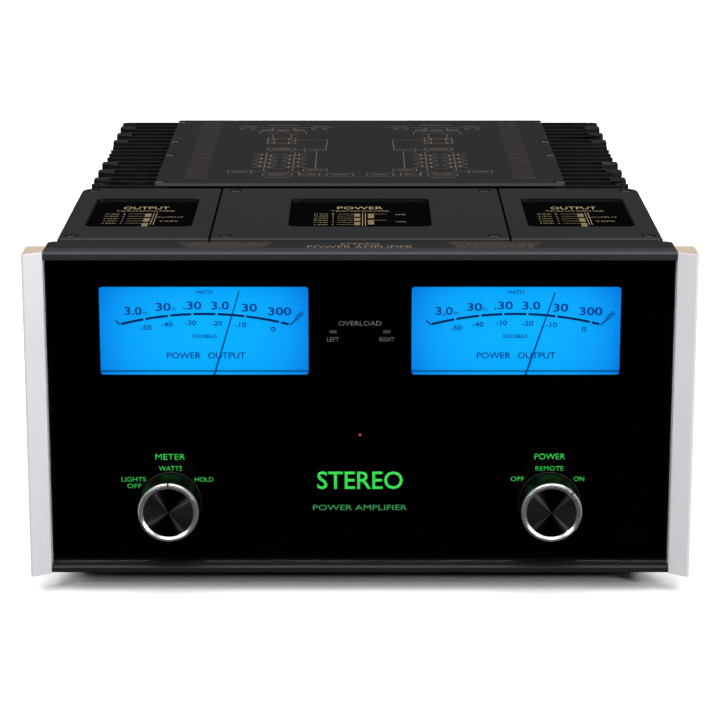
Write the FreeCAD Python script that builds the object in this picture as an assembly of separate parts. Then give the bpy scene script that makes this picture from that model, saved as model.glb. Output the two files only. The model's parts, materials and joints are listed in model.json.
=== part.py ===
import FreeCAD, Part
import math
import os

from FreeCAD import Vector

# Two-channel power amplifier.  Millimetres.  +X is the object's right as seen from the front,
# +Y points from the front panel to the rear, +Z is up.  The origin is on the surface that the
# feet stand on, under the middle of the whole object.

# ---------------------------------------------------------------- driving dimensions
WIDTH = 444.5
HEIGHT = 239.7
DEPTH = 545.0
KNOB_REACH = 10.5
KNOB_FACE = -DEPTH / 2
PANEL_FRONT = KNOB_FACE + KNOB_REACH
REAR_TIP = DEPTH / 2
TOUCH = 0.1
SLIDING_GAP = 0.15
RUNNING_GAP = 0.05

# front assembly
HALF_WIDTH = WIDTH / 2
CAP_WIDTH = 13.25
INNER_HALF = HALF_WIDTH - CAP_WIDTH
PANEL_TOP = 236.8
CAP_BOTTOM = 13.8
CAP_DEPTH = 27.0
CAP_SLANT = 7.3
CAP_CHAMFER = 1.3
TRIM_FRONT = PANEL_FRONT + 7.1
TRIM_BACK = PANEL_FRONT + 21.0
TRIM_BOTTOM = 14.7
TOP_TRIM_HEIGHT = 5.4
BOTTOM_TRIM_HEIGHT = 4.6
TRIM_CHAMFER = 1.4
GLASS_FRONT = PANEL_FRONT + 14.5
GLASS_BACK = GLASS_FRONT + 4.0
MASK_BACK = GLASS_BACK + 0.8
GLASS_LOW = TRIM_BOTTOM + BOTTOM_TRIM_HEIGHT + TOUCH
GLASS_HIGH = PANEL_TOP - TOP_TRIM_HEIGHT - TOUCH
GLASS_HALF = INNER_HALF - 0.3
HOUSING_BACK = PANEL_FRONT + 43.0
HOUSING_INNER_BACK = HOUSING_BACK - 2.0
HOUSING_LOW = 16.0
HOUSING_HIGH = PANEL_TOP - 0.3
HOUSING_WALL = 2.5

# meters
METER_X = 103.9
WINDOW_WIDTH = 139.0
WINDOW_LOW = PANEL_TOP - 86.1
WINDOW_HIGH = PANEL_TOP - 25.7
WINDOW_RADIUS = 2.0
CASE_WALL = 1.6
CASE_HALF = WINDOW_WIDTH / 2 + 2.85
CASE_LOW = 111.2
CASE_HIGH = WINDOW_HIGH + 2.6
DIAL_FRONT = PANEL_FRONT + 25.8
DIAL_BACK = DIAL_FRONT + 1.2
DIAL_LOW = 146.0
PIVOT_Z = PANEL_TOP - 108.0
NEEDLE_FRONT = PANEL_FRONT + 21.6
NEEDLE_THICK = 0.6
NEEDLE_LENGTH = 82.0
NEEDLE_TAIL = 12.0
STAFF_RADIUS = 1.0
LEFT_NEEDLE_TILT = 16.6
RIGHT_NEEDLE_TILT = 18.4

# knobs and switches
KNOB_X = 128.0
KNOB_Z = PANEL_TOP - 174.3
KNOB_RADIUS = 20.25
KNOB_BACK = GLASS_FRONT - 0.6
RING_DEPTH = 3.6
RING_INNER = 16.6
DISC_RECESS = 0.6
SHAFT_RADIUS = 3.0
SHAFT_FRONT = KNOB_FACE + 6.5
SHAFT_BACK = PANEL_FRONT + 36.0
SWITCH_FRONT = PANEL_FRONT + 29.0
SWITCH_HALF = 15.0
POWER_KNOB_TURN = 45.0

# chassis
FOOT_HEIGHT = 14.8
SHEET = 2.0
FLOOR_TOP = FOOT_HEIGHT + SHEET
DECK_Z = 72.0
CHASSIS_HALF = 204.2
REAR_HALF = 150.0
FRONT_SECTION_BACK = PANEL_FRONT + 228.6
CHASSIS_BACK = PANEL_FRONT + 509.0
REAR_PANEL_FRONT = CHASSIS_BACK - SHEET

# transformer covers
COVER_FRONT = PANEL_FRONT + 50.0
COVER_BACK = PANEL_FRONT + 227.5
COVER_GROOVE = 1.7
GROOVE_X = 101.35
COVER_TOP_SHEET = 2.4
LABEL_FRONT = PANEL_FRONT + 89.5
LABEL_BACK = PANEL_FRONT + 188.5
SIDE_LABEL = (115.7, 189.6)
CENTRE_LABEL_HALF = 49.6
LABEL_RADIUS = 6.0
LABEL_FLOOR = PANEL_TOP - 4.0
LABEL_THICK = 1.2
COVER_SCREW_X = (91.2, 195.3)
COVER_SCREW_Y = (PANEL_FRONT + 60.3, PANEL_FRONT + 218.7)
COVER_PIT = 1.3
OUTPUT_X = 153.3

# heat sinks and top cover
SINK_FRONT = PANEL_FRONT + 229.0
SINK_BASE = (143.5, 152.0)
FIN_TIP = 198.5
FIN_COUNT = 18
FIN_THICK = 2.6
FIN_TOP = 238.2
FIN_BOTTOM = 20.0
BOSS_RADIUS = 5.0
JOINED_TIP = 12.0                 # depth of the bar that joins two fins' tips
FIRST_OF_JOINED = (1, 3, 5, 11, 13, 15)
SINGLE_FINS = (7, 8, 9, 10)
PLATE_LOW = 237.4
PLATE_HALF = 151.6
PLATE_PIT = 1.5
PLATE_BEVEL = 1.6
PLATE_SCREW_X = 148.4
PLATE_SCREW_Y = [PANEL_FRONT + distance for distance in (238.0, 348.0, 409.0, 500.0)]
VENT_X = (114.5, 131.6)
VENT_FRONT = PANEL_FRONT + 250.0
VENT_COUNT = 32
VENT_PITCH = 8.0
VENT_SLOT = 5.2

# rear connectors
POST_XS = [side * offset for side in (-1, 1) for offset in (30.0, 56.0, 82.0, 108.0)]
POST_Z = 95.0
STEM_RADIUS = 4.0
BANANA_RADIUS = 2.0
BANANA_DEPTH = 18.0
NUT_RADIUS = 9.0
NUT_FRONT = CHASSIS_BACK + 3.8
NUT_BACK = REAR_TIP - 3.0
JACK_Z = 185.0
XLR_X = 100.0
XLR_RADIUS = 12.0
XLR_FACE = CHASSIS_BACK + 2.0
XLR_DEPTH = 12.0
RCA_X = 60.0
RCA_RADIUS = 4.15
TRIGGER_XS = (-24.0, -8.0, 8.0, 24.0)
TRIGGER_Z = 150.0
TRIGGER_RADIUS = 1.8
TRIGGER_DEPTH = 14.0
BOARD_FACE = CHASSIS_BACK - 22.0
INLET_Z = 48.0
INLET_CAVITY = (-20.0, 4.0)
DRAWER_SLOT = (8.0, 19.0)
INLET_HALF_HEIGHT = 8.0
INLET_FACE = CHASSIS_BACK + 2.5


# ---------------------------------------------------------------- helpers
def box(x0, x1, y0, y1, z0, z1):
    return Part.makeBox(x1 - x0, y1 - y0, z1 - z0, Vector(x0, y0, z0))


def rod_y(x, z, radius, y0, y1):
    """A cylinder along Y."""
    return Part.makeCylinder(radius, y1 - y0, Vector(x, y0, z), Vector(0, 1, 0))


def rod_z(x, y, radius, z0, z1):
    """A cylinder along Z."""
    return Part.makeCylinder(radius, z1 - z0, Vector(x, y, z0), Vector(0, 0, 1))


def prism(points, along):
    """A closed polygon swept along a vector."""
    corners = [Vector(*point) for point in points]
    return Part.Face(Part.makePolygon(corners + corners[:1])).extrude(Vector(*along))


def hexagon_y(x, z, radius, y0, y1):
    angles = [math.radians(60 * k) for k in range(6)]
    corners = [(x + radius * math.cos(a), y0, z + radius * math.sin(a)) for a in angles]
    return prism(corners, (0, y1 - y0, 0))


def parallel_edges(shape, axis):
    """The straight edges of a shape that run along an axis."""
    found = []
    for edge in shape.Edges:
        start, end = edge.Vertexes[0].Point, edge.Vertexes[-1].Point
        run = end - start
        if run.Length > 0 and abs(run.dot(axis)) > 0.999 * run.Length:
            found.append(edge)
    return found


def rounded(shape, axis, radius):
    """Round every straight edge that runs along an axis."""
    return shape.makeFillet(radius, parallel_edges(shape, Vector(*axis)))


def mirrored(shape):
    return shape.mirror(Vector(0, 0, 0), Vector(1, 0, 0))


def turned_y(shape, x, z, degrees):
    """A copy turned clockwise, as seen from the front, about an axis along Y."""
    copy = shape.copy()
    copy.rotate(Vector(x, 0, z), Vector(0, 1, 0), degrees)
    return copy


def fused(shapes):
    return shapes[0].multiFuse(shapes[1:]).removeSplitter()


def save(node, *shapes):
    """Write one node: a single solid, or a group of separate solids."""
    shape = shapes[0] if len(shapes) == 1 else Part.makeCompound(list(shapes))
    shape.exportStep("parts/" + node + ".step")


# ---------------------------------------------------------------- front panel
def end_cap():
    """Right cap: a bar whose front face slants back towards the glass."""
    outline = [
        (INNER_HALF, PANEL_FRONT + CAP_SLANT, CAP_BOTTOM),
        (HALF_WIDTH - CAP_CHAMFER, PANEL_FRONT, CAP_BOTTOM),
        (HALF_WIDTH, PANEL_FRONT + CAP_CHAMFER, CAP_BOTTOM),
        (HALF_WIDTH, PANEL_FRONT + CAP_DEPTH, CAP_BOTTOM),
        (INNER_HALF, PANEL_FRONT + CAP_DEPTH, CAP_BOTTOM),
    ]
    return prism(outline, (0, 0, PANEL_TOP - CAP_BOTTOM))


def trim(low, high):
    """A dark extrusion between the caps, with a chamfer along its upper front edge."""
    half = INNER_HALF - TOUCH
    outline = [
        (-half, TRIM_FRONT, low),
        (-half, TRIM_FRONT, high - TRIM_CHAMFER),
        (-half, TRIM_FRONT + TRIM_CHAMFER, high),
        (-half, TRIM_BACK, high),
        (-half, TRIM_BACK, low),
    ]
    return prism(outline, (2 * half, 0, 0))


def knob_holes():
    """Clearance for both switch bushings through the glass and the mask."""
    return [rod_y(side * KNOB_X, KNOB_Z, 4.8, GLASS_FRONT - 1, MASK_BACK + 1) for side in (-1, 1)]


def front_glass():
    sheet = box(-GLASS_HALF, GLASS_HALF, GLASS_FRONT, GLASS_BACK, GLASS_LOW, GLASS_HIGH)
    return sheet.cut(knob_holes())


def meter_window(side):
    half = WINDOW_WIDTH / 2
    x = side * METER_X
    window = box(x - half, x + half, GLASS_BACK - 1, MASK_BACK + 1, WINDOW_LOW, WINDOW_HIGH)
    return rounded(window, (0, 1, 0), WINDOW_RADIUS)


LIGHT_Z = PANEL_TOP - 56.4
LIGHT_X = 17.9
LIGHT_SIZE = (4.8, 1.9)
POWER_LIGHT_Z = PANEL_TOP - 127.9
POWER_LIGHT_RADIUS = 0.9


def light_pipes(y0, y1, grow):
    """Two level lights and the round power light, from the board to the mask."""
    half_x, half_z = LIGHT_SIZE[0] / 2 + grow, LIGHT_SIZE[1] / 2 + grow
    pipes = []
    for side in (-1, 1):
        x = side * LIGHT_X
        pipes.append(box(x - half_x, x + half_x, y0, y1, LIGHT_Z - half_z, LIGHT_Z + half_z))
    pipes.append(rod_y(0, POWER_LIGHT_Z, POWER_LIGHT_RADIUS + grow, y0, y1))
    return pipes


def glass_mask():
    sheet = box(-GLASS_HALF, GLASS_HALF, GLASS_BACK, MASK_BACK, GLASS_LOW, GLASS_HIGH)
    openings = knob_holes() + [meter_window(-1), meter_window(1)]
    openings += light_pipes(GLASS_BACK - 1, MASK_BACK + 1, TOUCH)
    return sheet.cut(openings)


def front_housing():
    """A shallow black shell behind the mask; its neck fits between the two trims."""
    shell = box(-INNER_HALF, INNER_HALF, TRIM_BACK, HOUSING_BACK, HOUSING_LOW, HOUSING_HIGH)
    rear_corners = [
        edge for edge in parallel_edges(shell, Vector(0, 0, 1))
        if edge.Vertexes[0].Y > HOUSING_BACK - TOUCH
    ]
    shell = shell.makeFillet(5.0, rear_corners)
    neck = box(-GLASS_HALF, GLASS_HALF, MASK_BACK, TRIM_BACK, GLASS_LOW, GLASS_HIGH)
    inner_x = INNER_HALF - 5.0
    hollow = box(
        -inner_x, inner_x, TRIM_BACK, HOUSING_INNER_BACK,
        HOUSING_LOW + HOUSING_WALL, HOUSING_HIGH - HOUSING_WALL)
    mouth = box(
        -inner_x, inner_x, MASK_BACK - 1, TRIM_BACK,
        GLASS_LOW + HOUSING_WALL, GLASS_HIGH - HOUSING_WALL)
    harness_slot = box(-30, 30, HOUSING_INNER_BACK - 1, HOUSING_BACK + 1, 30, 60)
    return fused([shell, neck]).cut([hollow, mouth, harness_slot])


# ---------------------------------------------------------------- meters
def meter_case(side):
    """An open tray behind the mask, with ledges that carry the dial."""
    x = side * METER_X
    inner = CASE_HALF - CASE_WALL
    tray = box(x - CASE_HALF, x + CASE_HALF, MASK_BACK, HOUSING_INNER_BACK, CASE_LOW, CASE_HIGH)
    hollow = box(
        x - inner, x + inner, MASK_BACK - 1, HOUSING_INNER_BACK - CASE_WALL,
        CASE_LOW + CASE_WALL, CASE_HIGH - CASE_WALL)
    tray = tray.cut(hollow)
    ledges = []
    for edge in (-inner, inner - 2.0):
        ledges.append(box(
            x + edge, x + edge + 2.0, DIAL_BACK, DIAL_BACK + 1.5, DIAL_LOW, CASE_HIGH - CASE_WALL))
    return fused([tray] + ledges)


def meter_dial(side):
    half = CASE_HALF - CASE_WALL - TOUCH
    x = side * METER_X
    return box(
        x - half, x + half, DIAL_FRONT, DIAL_BACK, DIAL_LOW, CASE_HIGH - CASE_WALL - TOUCH)


def meter_needle(side, tilt):
    """A tapered pointer, its hub and a counterweight, balanced on the movement's staff."""
    x = side * METER_X
    back = NEEDLE_FRONT + NEEDLE_THICK
    pointer = prism(
        [
            (x - 0.7, NEEDLE_FRONT, PIVOT_Z),
            (x + 0.7, NEEDLE_FRONT, PIVOT_Z),
            (x + 0.4, NEEDLE_FRONT, PIVOT_Z + NEEDLE_LENGTH),
            (x - 0.4, NEEDLE_FRONT, PIVOT_Z + NEEDLE_LENGTH),
        ],
        (0, NEEDLE_THICK, 0))
    tail = box(x - 1.0, x + 1.0, NEEDLE_FRONT, back, PIVOT_Z - NEEDLE_TAIL, PIVOT_Z)
    weight = rod_y(x, PIVOT_Z - NEEDLE_TAIL + 2.0, 2.0, NEEDLE_FRONT - 0.3, back + 1.5)
    hub = rod_y(x, PIVOT_Z, 4.0, NEEDLE_FRONT - 0.3, DIAL_FRONT - 0.6)
    staff_hole = rod_y(x, PIVOT_Z, STAFF_RADIUS + RUNNING_GAP, NEEDLE_FRONT - 2, DIAL_FRONT)
    needle = fused([pointer, tail, weight, hub]).cut(staff_hole)
    return turned_y(needle, x, PIVOT_Z, tilt)


def meter_movement(side):
    """Moving-coil movement: a magnet drum on the case's back and the staff of the needle."""
    x = side * METER_X
    drum = rod_y(x, PIVOT_Z, 13.0, DIAL_FRONT, HOUSING_INNER_BACK - CASE_WALL)
    staff = rod_y(x, PIVOT_Z, STAFF_RADIUS, NEEDLE_FRONT - 0.8, DIAL_FRONT + 1)
    return fused([drum, staff])


def meter_lamps(side):
    x = side * METER_X
    back = HOUSING_INNER_BACK - CASE_WALL
    return [box(x - 55, x + 55, back - 2.5, back, z, z + 5) for z in (160.0, 192.0)]


# ---------------------------------------------------------------- knobs
def about_knob(profile):
    """Turn an (radius, y) outline into a solid about the knob's axis."""
    corners = [Vector(radius, y, 0) for radius, y in profile]
    face = Part.Face(Part.makePolygon(corners + corners[:1]))
    return face.revolve(Vector(0, 0, 0), Vector(0, 1, 0), 360)


def knob_ring(x, turn):
    """Polished ring: a sloping inner bevel, a fine groove and a slim outer lip."""
    back = KNOB_FACE + RING_DEPTH
    ring = about_knob([
        (RING_INNER, back),
        (RING_INNER, KNOB_FACE + 1.2),
        (RING_INNER + 1.9, KNOB_FACE),
        (RING_INNER + 2.2, KNOB_FACE),
        (RING_INNER + 2.4, KNOB_FACE + 0.4),
        (RING_INNER + 2.6, KNOB_FACE + 0.2),
        (RING_INNER + 3.1, KNOB_FACE + 0.2),
        (KNOB_RADIUS, KNOB_FACE + 0.9),
        (KNOB_RADIUS, back),
    ])
    notch = box(-0.6, 0.6, KNOB_FACE - 1, back + 1, RING_INNER + 1.4, KNOB_RADIUS + 1)
    ring = ring.cut(notch)
    ring.translate(Vector(x, 0, KNOB_Z))
    return turned_y(ring, x, KNOB_Z, turn)


def knob_body(x, turn):
    """Black body with a recessed front disc, a hollow back and an index groove on its side."""
    seat = KNOB_FACE + RING_DEPTH
    body = about_knob([
        (0, KNOB_FACE + DISC_RECESS),
        (RING_INNER, KNOB_FACE + DISC_RECESS),
        (RING_INNER, seat),
        (KNOB_RADIUS, seat),
        (KNOB_RADIUS, KNOB_BACK - 0.6),
        (KNOB_RADIUS - 0.6, KNOB_BACK),
        (17.0, KNOB_BACK),
        (17.0, KNOB_BACK - 10.0),
        (7.0, KNOB_BACK - 10.0),
        (7.0, KNOB_BACK),
        (SHAFT_RADIUS, KNOB_BACK),
        (SHAFT_RADIUS, SHAFT_FRONT),
        (0, SHAFT_FRONT),
    ])
    groove = box(-0.6, 0.6, seat, KNOB_BACK + 1, KNOB_RADIUS - 0.8, KNOB_RADIUS + 1)
    body = body.cut(groove)
    body.translate(Vector(x, 0, KNOB_Z))
    return turned_y(body, x, KNOB_Z, turn)


def switch_shaft(x):
    return rod_y(x, KNOB_Z, SHAFT_RADIUS, SHAFT_FRONT, SHAFT_BACK)


def rotary_switch(x):
    """Wafer switch on the housing's back, with a bushing that guides the shaft."""
    body = box(
        x - SWITCH_HALF, x + SWITCH_HALF, SWITCH_FRONT, HOUSING_INNER_BACK,
        KNOB_Z - SWITCH_HALF, KNOB_Z + SWITCH_HALF)
    bushing = rod_y(x, KNOB_Z, 4.5, MASK_BACK + 0.2, SWITCH_FRONT + 1)
    bore = rod_y(x, KNOB_Z, SHAFT_RADIUS + RUNNING_GAP, MASK_BACK - 1, SHAFT_BACK + 1)
    return fused([body, bushing]).cut(bore)


def display_board():
    face = PANEL_FRONT + 31.0
    board = box(-24, 24, face, face + 1.6, 70, 200)
    posts = [
        rod_y(x, z, 2.5, face + 1.0, HOUSING_INNER_BACK) for x in (-20, 20) for z in (75, 195)]
    return fused([board] + posts)


# ---------------------------------------------------------------- chassis
FRONT_FEET = [(side * 183.0, PANEL_FRONT + 66.0) for side in (-1, 1)]
REAR_FEET = [(side * 125.0, PANEL_FRONT + 480.0) for side in (-1, 1)]
FEET = FRONT_FEET + REAR_FEET
FOOT_HOLE = 2.2
PAN_VENT_ROWS = 12


def chassis_pan():
    """Sheet pan: wide under the covers, narrow between the heat sinks, with a deck flange."""
    floor = fused([
        box(-CHASSIS_HALF, CHASSIS_HALF, HOUSING_BACK, FRONT_SECTION_BACK, FOOT_HEIGHT, FLOOR_TOP),
        box(-REAR_HALF, REAR_HALF, FRONT_SECTION_BACK, CHASSIS_BACK, FOOT_HEIGHT, FLOOR_TOP),
    ])
    tub = box(
        -CHASSIS_HALF, CHASSIS_HALF, HOUSING_BACK, FRONT_SECTION_BACK, FLOOR_TOP, DECK_Z)
    tub_inside = box(
        -CHASSIS_HALF + SHEET, CHASSIS_HALF - SHEET, HOUSING_BACK + SHEET,
        FRONT_SECTION_BACK - SHEET, FLOOR_TOP, DECK_Z - SHEET)
    deck_hole = box(
        -CHASSIS_HALF + 5, CHASSIS_HALF - 5, COVER_FRONT + 5, COVER_BACK - 6,
        DECK_Z - SHEET - 1, DECK_Z + 1)
    harness_window = box(
        -REAR_HALF + 20, REAR_HALF - 20, FRONT_SECTION_BACK - SHEET - 1, FRONT_SECTION_BACK + 1,
        FLOOR_TOP + 10, DECK_Z - 12)
    pan = fused([floor, tub.cut([tub_inside, deck_hole, harness_window])])
    foot_holes = [rod_z(x, y, FOOT_HOLE, FOOT_HEIGHT - 1, FLOOR_TOP + 1) for x, y in FEET]
    vents = []
    for side in (-1, 1):
        for row in range(PAN_VENT_ROWS):
            x0, x1 = sorted((side * 82.0, side * 114.0))
            y = PANEL_FRONT + 266.0 + 14.0 * row
            vents.append(box(x0, x1, y, y + 4.0, FOOT_HEIGHT - 1, FLOOR_TOP + 1))
    return pan.cut(foot_holes + vents)


def foot(x, y):
    """Tapered rubber foot with a deep screw recess."""
    cone = Part.makeCone(18.0, 20.0, FOOT_HEIGHT, Vector(x, y, 0), Vector(0, 0, 1))
    recess = rod_z(x, y, 5.2, -1, 8.0)
    return cone.cut([recess, rod_z(x, y, FOOT_HOLE, 0, FOOT_HEIGHT + 1)])


def foot_screw(x, y):
    return fused([rod_z(x, y, 4.4, 5.2, 8.0), rod_z(x, y, FOOT_HOLE - 0.2, 7.0, FLOOR_TOP + 3)])


# ---------------------------------------------------------------- transformer covers
def label_box(x0, x1, z0, z1, inset=0.0):
    recess = box(x0 + inset, x1 - inset, LABEL_FRONT + inset, LABEL_BACK - inset, z0, z1)
    return rounded(recess, (0, 0, 1), LABEL_RADIUS - inset)


def screw_pits(points):
    """A flat-bottomed pit and a through hole for each cover screw."""
    pits = []
    for x, y in points:
        pits.append(rod_z(x, y, 4.75, PANEL_TOP - COVER_PIT, PANEL_TOP + 1))
        pits.append(rod_z(x, y, 1.8, PANEL_TOP - 5, PANEL_TOP))
    return pits


def cover_shell(outer, hollow, label, screws):
    """A sheet cover: open below, with a label recess in its top."""
    x0, x1 = label
    pocket = label_box(x0 - SHEET, x1 + SHEET, LABEL_FLOOR - 1.6, PANEL_TOP - 1, -SHEET + 0.5)
    recess = label_box(x0, x1, LABEL_FLOOR, PANEL_TOP + 1)
    shell = fused([outer.cut(hollow), pocket])
    return shell.cut([recess] + screw_pits(screws))


def top_edge_rounding(shape, edges, radius):
    """Round the top edges that pass a test on their middle point."""
    chosen = []
    for edge in shape.Edges:
        centre = edge.BoundBox.Center
        if centre.z > PANEL_TOP - TOUCH and edges(centre):
            chosen.append(edge)
    return shape.makeFillet(radius, chosen)


def side_cover():
    """Right cover; its outer vertical corners are round, its groove side is square."""
    x0 = GROOVE_X + COVER_GROOVE / 2
    outer = box(x0, CHASSIS_HALF, COVER_FRONT, COVER_BACK, DECK_Z, PANEL_TOP)
    for y, radius in ((COVER_FRONT, 4.0), (COVER_BACK, 10.0)):
        corner = [
            edge for edge in parallel_edges(outer, Vector(0, 0, 1))
            if edge.Vertexes[0].X > CHASSIS_HALF - TOUCH and abs(edge.Vertexes[0].Y - y) < TOUCH
        ]
        outer = outer.makeFillet(radius, corner)
    outer = top_edge_rounding(outer, lambda centre: centre.x > x0 + 1, 2.0)
    hollow = box(
        x0 + SHEET, CHASSIS_HALF - SHEET, COVER_FRONT + SHEET, COVER_BACK - SHEET,
        DECK_Z - 1, PANEL_TOP - COVER_TOP_SHEET)
    hollow = rounded(hollow, (0, 0, 1), 8.0)
    screws = [(COVER_SCREW_X[1], y) for y in COVER_SCREW_Y]
    return cover_shell(outer, hollow, SIDE_LABEL, screws)


def centre_cover():
    half = GROOVE_X - COVER_GROOVE / 2
    outer = box(-half, half, COVER_FRONT, COVER_BACK, DECK_Z, PANEL_TOP)
    outer = top_edge_rounding(outer, lambda centre: abs(centre.x) < 1, 2.0)
    hollow = box(
        -half + SHEET, half - SHEET, COVER_FRONT + SHEET, COVER_BACK - SHEET,
        DECK_Z - 1, PANEL_TOP - COVER_TOP_SHEET)
    screws = [(side * COVER_SCREW_X[0], y) for side in (-1, 1) for y in COVER_SCREW_Y]
    label = (-CENTRE_LABEL_HALF, CENTRE_LABEL_HALF)
    return cover_shell(outer, hollow, label, screws)


def cover_label(x0, x1):
    return label_box(x0, x1, LABEL_FLOOR, LABEL_FLOOR + LABEL_THICK, 0.2)


def cover_screw(x, y, seat):
    """Pan-head screw that sits at the bottom of its pit, with a cross recess."""
    head = rod_z(x, y, 3.1, seat, seat + 1.2)
    head = head.makeFillet(0.5, [edge for edge in head.Edges if edge.BoundBox.ZMin > seat + 1.1])
    shank = rod_z(x, y, 1.4, seat - 10, seat + 0.5)
    recess = [
        box(x - 1.8, x + 1.8, y - 0.4, y + 0.4, seat + 0.5, seat + 2),
        box(x - 0.4, x + 0.4, y - 1.8, y + 1.8, seat + 0.5, seat + 2),
    ]
    return fused([head, shank]).cut(recess)


def transformer(x, y, size, limb, stack, coil, along_x):
    """Laminated core with two windows, and the winding around its middle limb.

    size is the core's long side and its height; coil is the winding's outer size across the
    limb, along the long side and across the stack.
    """
    length, height = size
    low = FLOOR_TOP
    yoke = limb / 2
    window = (length - 2 * limb) / 2
    core = box(-length / 2, length / 2, -stack / 2, stack / 2, low, low + height)
    windows = []
    for side in (-1, 1):
        centre = side * (limb + window) / 2
        windows.append(box(
            centre - window / 2, centre + window / 2, -stack, stack,
            low + yoke, low + height - yoke))
    core = core.cut(windows)
    coil_low, coil_high = low + yoke + 1, low + height - yoke - 1
    winding = box(-coil[0] / 2, coil[0] / 2, -coil[1] / 2, coil[1] / 2, coil_low, coil_high)
    winding = rounded(winding, (0, 0, 1), 12.0)
    winding = winding.cut(box(
        -limb / 2, limb / 2, -stack / 2, stack / 2, coil_low - 1, coil_high + 1))
    for shape in (core, winding):
        if not along_x:
            shape.rotate(Vector(0, 0, 0), Vector(0, 0, 1), 90)
        shape.translate(Vector(x, y, 0))
    return core, winding


# ---------------------------------------------------------------- heat sinks and top cover
def heat_sink():
    """Right sink: a base plate with upright fins bonded to it, some of them joined at their tips."""
    back = REAR_PANEL_FRONT
    base = box(SINK_BASE[0], SINK_BASE[1], SINK_FRONT, back, FLOOR_TOP, PLATE_LOW)
    screw_holes = [rod_z(PLATE_SCREW_X, y, 1.5, PLATE_LOW - 12.0, HEIGHT) for y in PLATE_SCREW_Y]
    pieces = [base.cut(screw_holes)]
    pitch = (back - SINK_FRONT - FIN_THICK) / (FIN_COUNT - 1)
    for index in range(FIN_COUNT):
        y = SINK_FRONT + index * pitch
        if index in (0, FIN_COUNT - 1):
            pieces.append(corner_fin(y, SINK_FRONT if index == 0 else back - 2 * BOSS_RADIUS))
            continue
        tip = FIN_TIP - 1.5 if index in SINGLE_FINS else FIN_TIP - JOINED_TIP
        pieces.append(box(SINK_BASE[1], tip, y, y + FIN_THICK, FIN_BOTTOM, FIN_TOP))
        if index in FIRST_OF_JOINED:
            pieces.append(prism(
                [
                    (tip, y, FIN_BOTTOM),
                    (tip, y + pitch + FIN_THICK, FIN_BOTTOM),
                    (FIN_TIP, y + pitch, FIN_BOTTOM),
                    (FIN_TIP, y + FIN_THICK + 3.0, FIN_BOTTOM),
                ],
                (0, 0, FIN_TOP - FIN_BOTTOM)))
    return pieces


def corner_fin(y, boss_front):
    """End fin with a round boss at its tip, drilled from the top."""
    x = FIN_TIP - BOSS_RADIUS
    boss_y = boss_front + BOSS_RADIUS
    fin = box(SINK_BASE[1], x, y, y + FIN_THICK, FIN_BOTTOM, FIN_TOP)
    boss = rod_z(x, boss_y, BOSS_RADIUS, FIN_BOTTOM, FIN_TOP)
    return fused([fin, boss]).cut(rod_z(x, boss_y, 2.2, FIN_TOP - 15.0, HEIGHT))


def top_cover():
    """Plate between the sinks: bevelled front edge, two bands of slots and a pit for each screw."""
    plate = box(-PLATE_HALF, PLATE_HALF, SINK_FRONT, CHASSIS_BACK, PLATE_LOW, HEIGHT)
    plate = rounded(plate, (0, 0, 1), 2.0)
    cuts = [prism(
        [
            (-PLATE_HALF - 1, SINK_FRONT, HEIGHT - PLATE_BEVEL),
            (-PLATE_HALF - 1, SINK_FRONT, HEIGHT),
            (-PLATE_HALF - 1, SINK_FRONT + PLATE_BEVEL, HEIGHT),
        ],
        (2 * PLATE_HALF + 2, 0, 0))]
    for side in (-1, 1):
        vent_x0, vent_x1 = sorted((side * VENT_X[0], side * VENT_X[1]))
        for index in range(VENT_COUNT):
            y = VENT_FRONT + index * VENT_PITCH
            cuts.append(box(vent_x0, vent_x1, y, y + VENT_SLOT, PLATE_LOW - 1, HEIGHT + 1))
        for y in PLATE_SCREW_Y:
            x = side * PLATE_SCREW_X
            cuts.append(rod_z(x, y, 4.6, HEIGHT - PLATE_PIT, HEIGHT + 1))
            cuts.append(rod_z(x, y, 1.7, PLATE_LOW - 1, HEIGHT))
            x0, x1 = sorted((x, x + side * 6))
            cuts.append(box(x0, x1, y - 3.5, y + 3.5, HEIGHT - PLATE_PIT, HEIGHT + 1))
    return plate.cut(cuts)


# ---------------------------------------------------------------- electronics
def power_transistors():
    """Eight flat packages on the inner face of each sink."""
    packages = []
    for side in (-1, 1):
        x0, x1 = sorted((side * (SINK_BASE[0] - 5.0), side * SINK_BASE[0]))
        for index in range(8):
            y = PANEL_FRONT + 262.0 + index * 28.0
            packages.append(box(x0, x1, y, y + 16.0, 115.0, 136.0))
    return packages


def driver_board(side):
    inner, face = 127.0, 128.6
    y0, y1 = PANEL_FRONT + 250.0, PANEL_FRONT + 482.0
    board = box(inner, face, y0, y1, 60.0, 200.0)
    posts = []
    for y in (y0 + 6.0, y1 - 6.0):
        for z in (66.0, 194.0):
            posts.append(Part.makeCylinder(
                3.0, SINK_BASE[0] - face + 0.5, Vector(face - 0.5, y, z), Vector(1, 0, 0)))
    shape = fused([board] + posts)
    return shape if side > 0 else mirrored(shape)


CAN_RADIUS = 32.0
CAN_HEIGHT = 110.0
CAN_CENTRES = [(x, PANEL_FRONT + y) for x in (-36.0, 36.0) for y in (300.0, 372.0)]


def filter_can(x, y):
    can = rod_z(x, y, CAN_RADIUS, FLOOR_TOP, FLOOR_TOP + CAN_HEIGHT)
    return can.makeFillet(2.0, [edge for edge in can.Edges if len(edge.Vertexes) == 1])


def supply_board():
    top = FLOOR_TOP + CAN_HEIGHT
    return box(-75, 75, PANEL_FRONT + 262.0, PANEL_FRONT + 410.0, top, top + 1.6)


def input_board():
    return box(-120, 120, BOARD_FACE - 1.6, BOARD_FACE, 138, 205)


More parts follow.
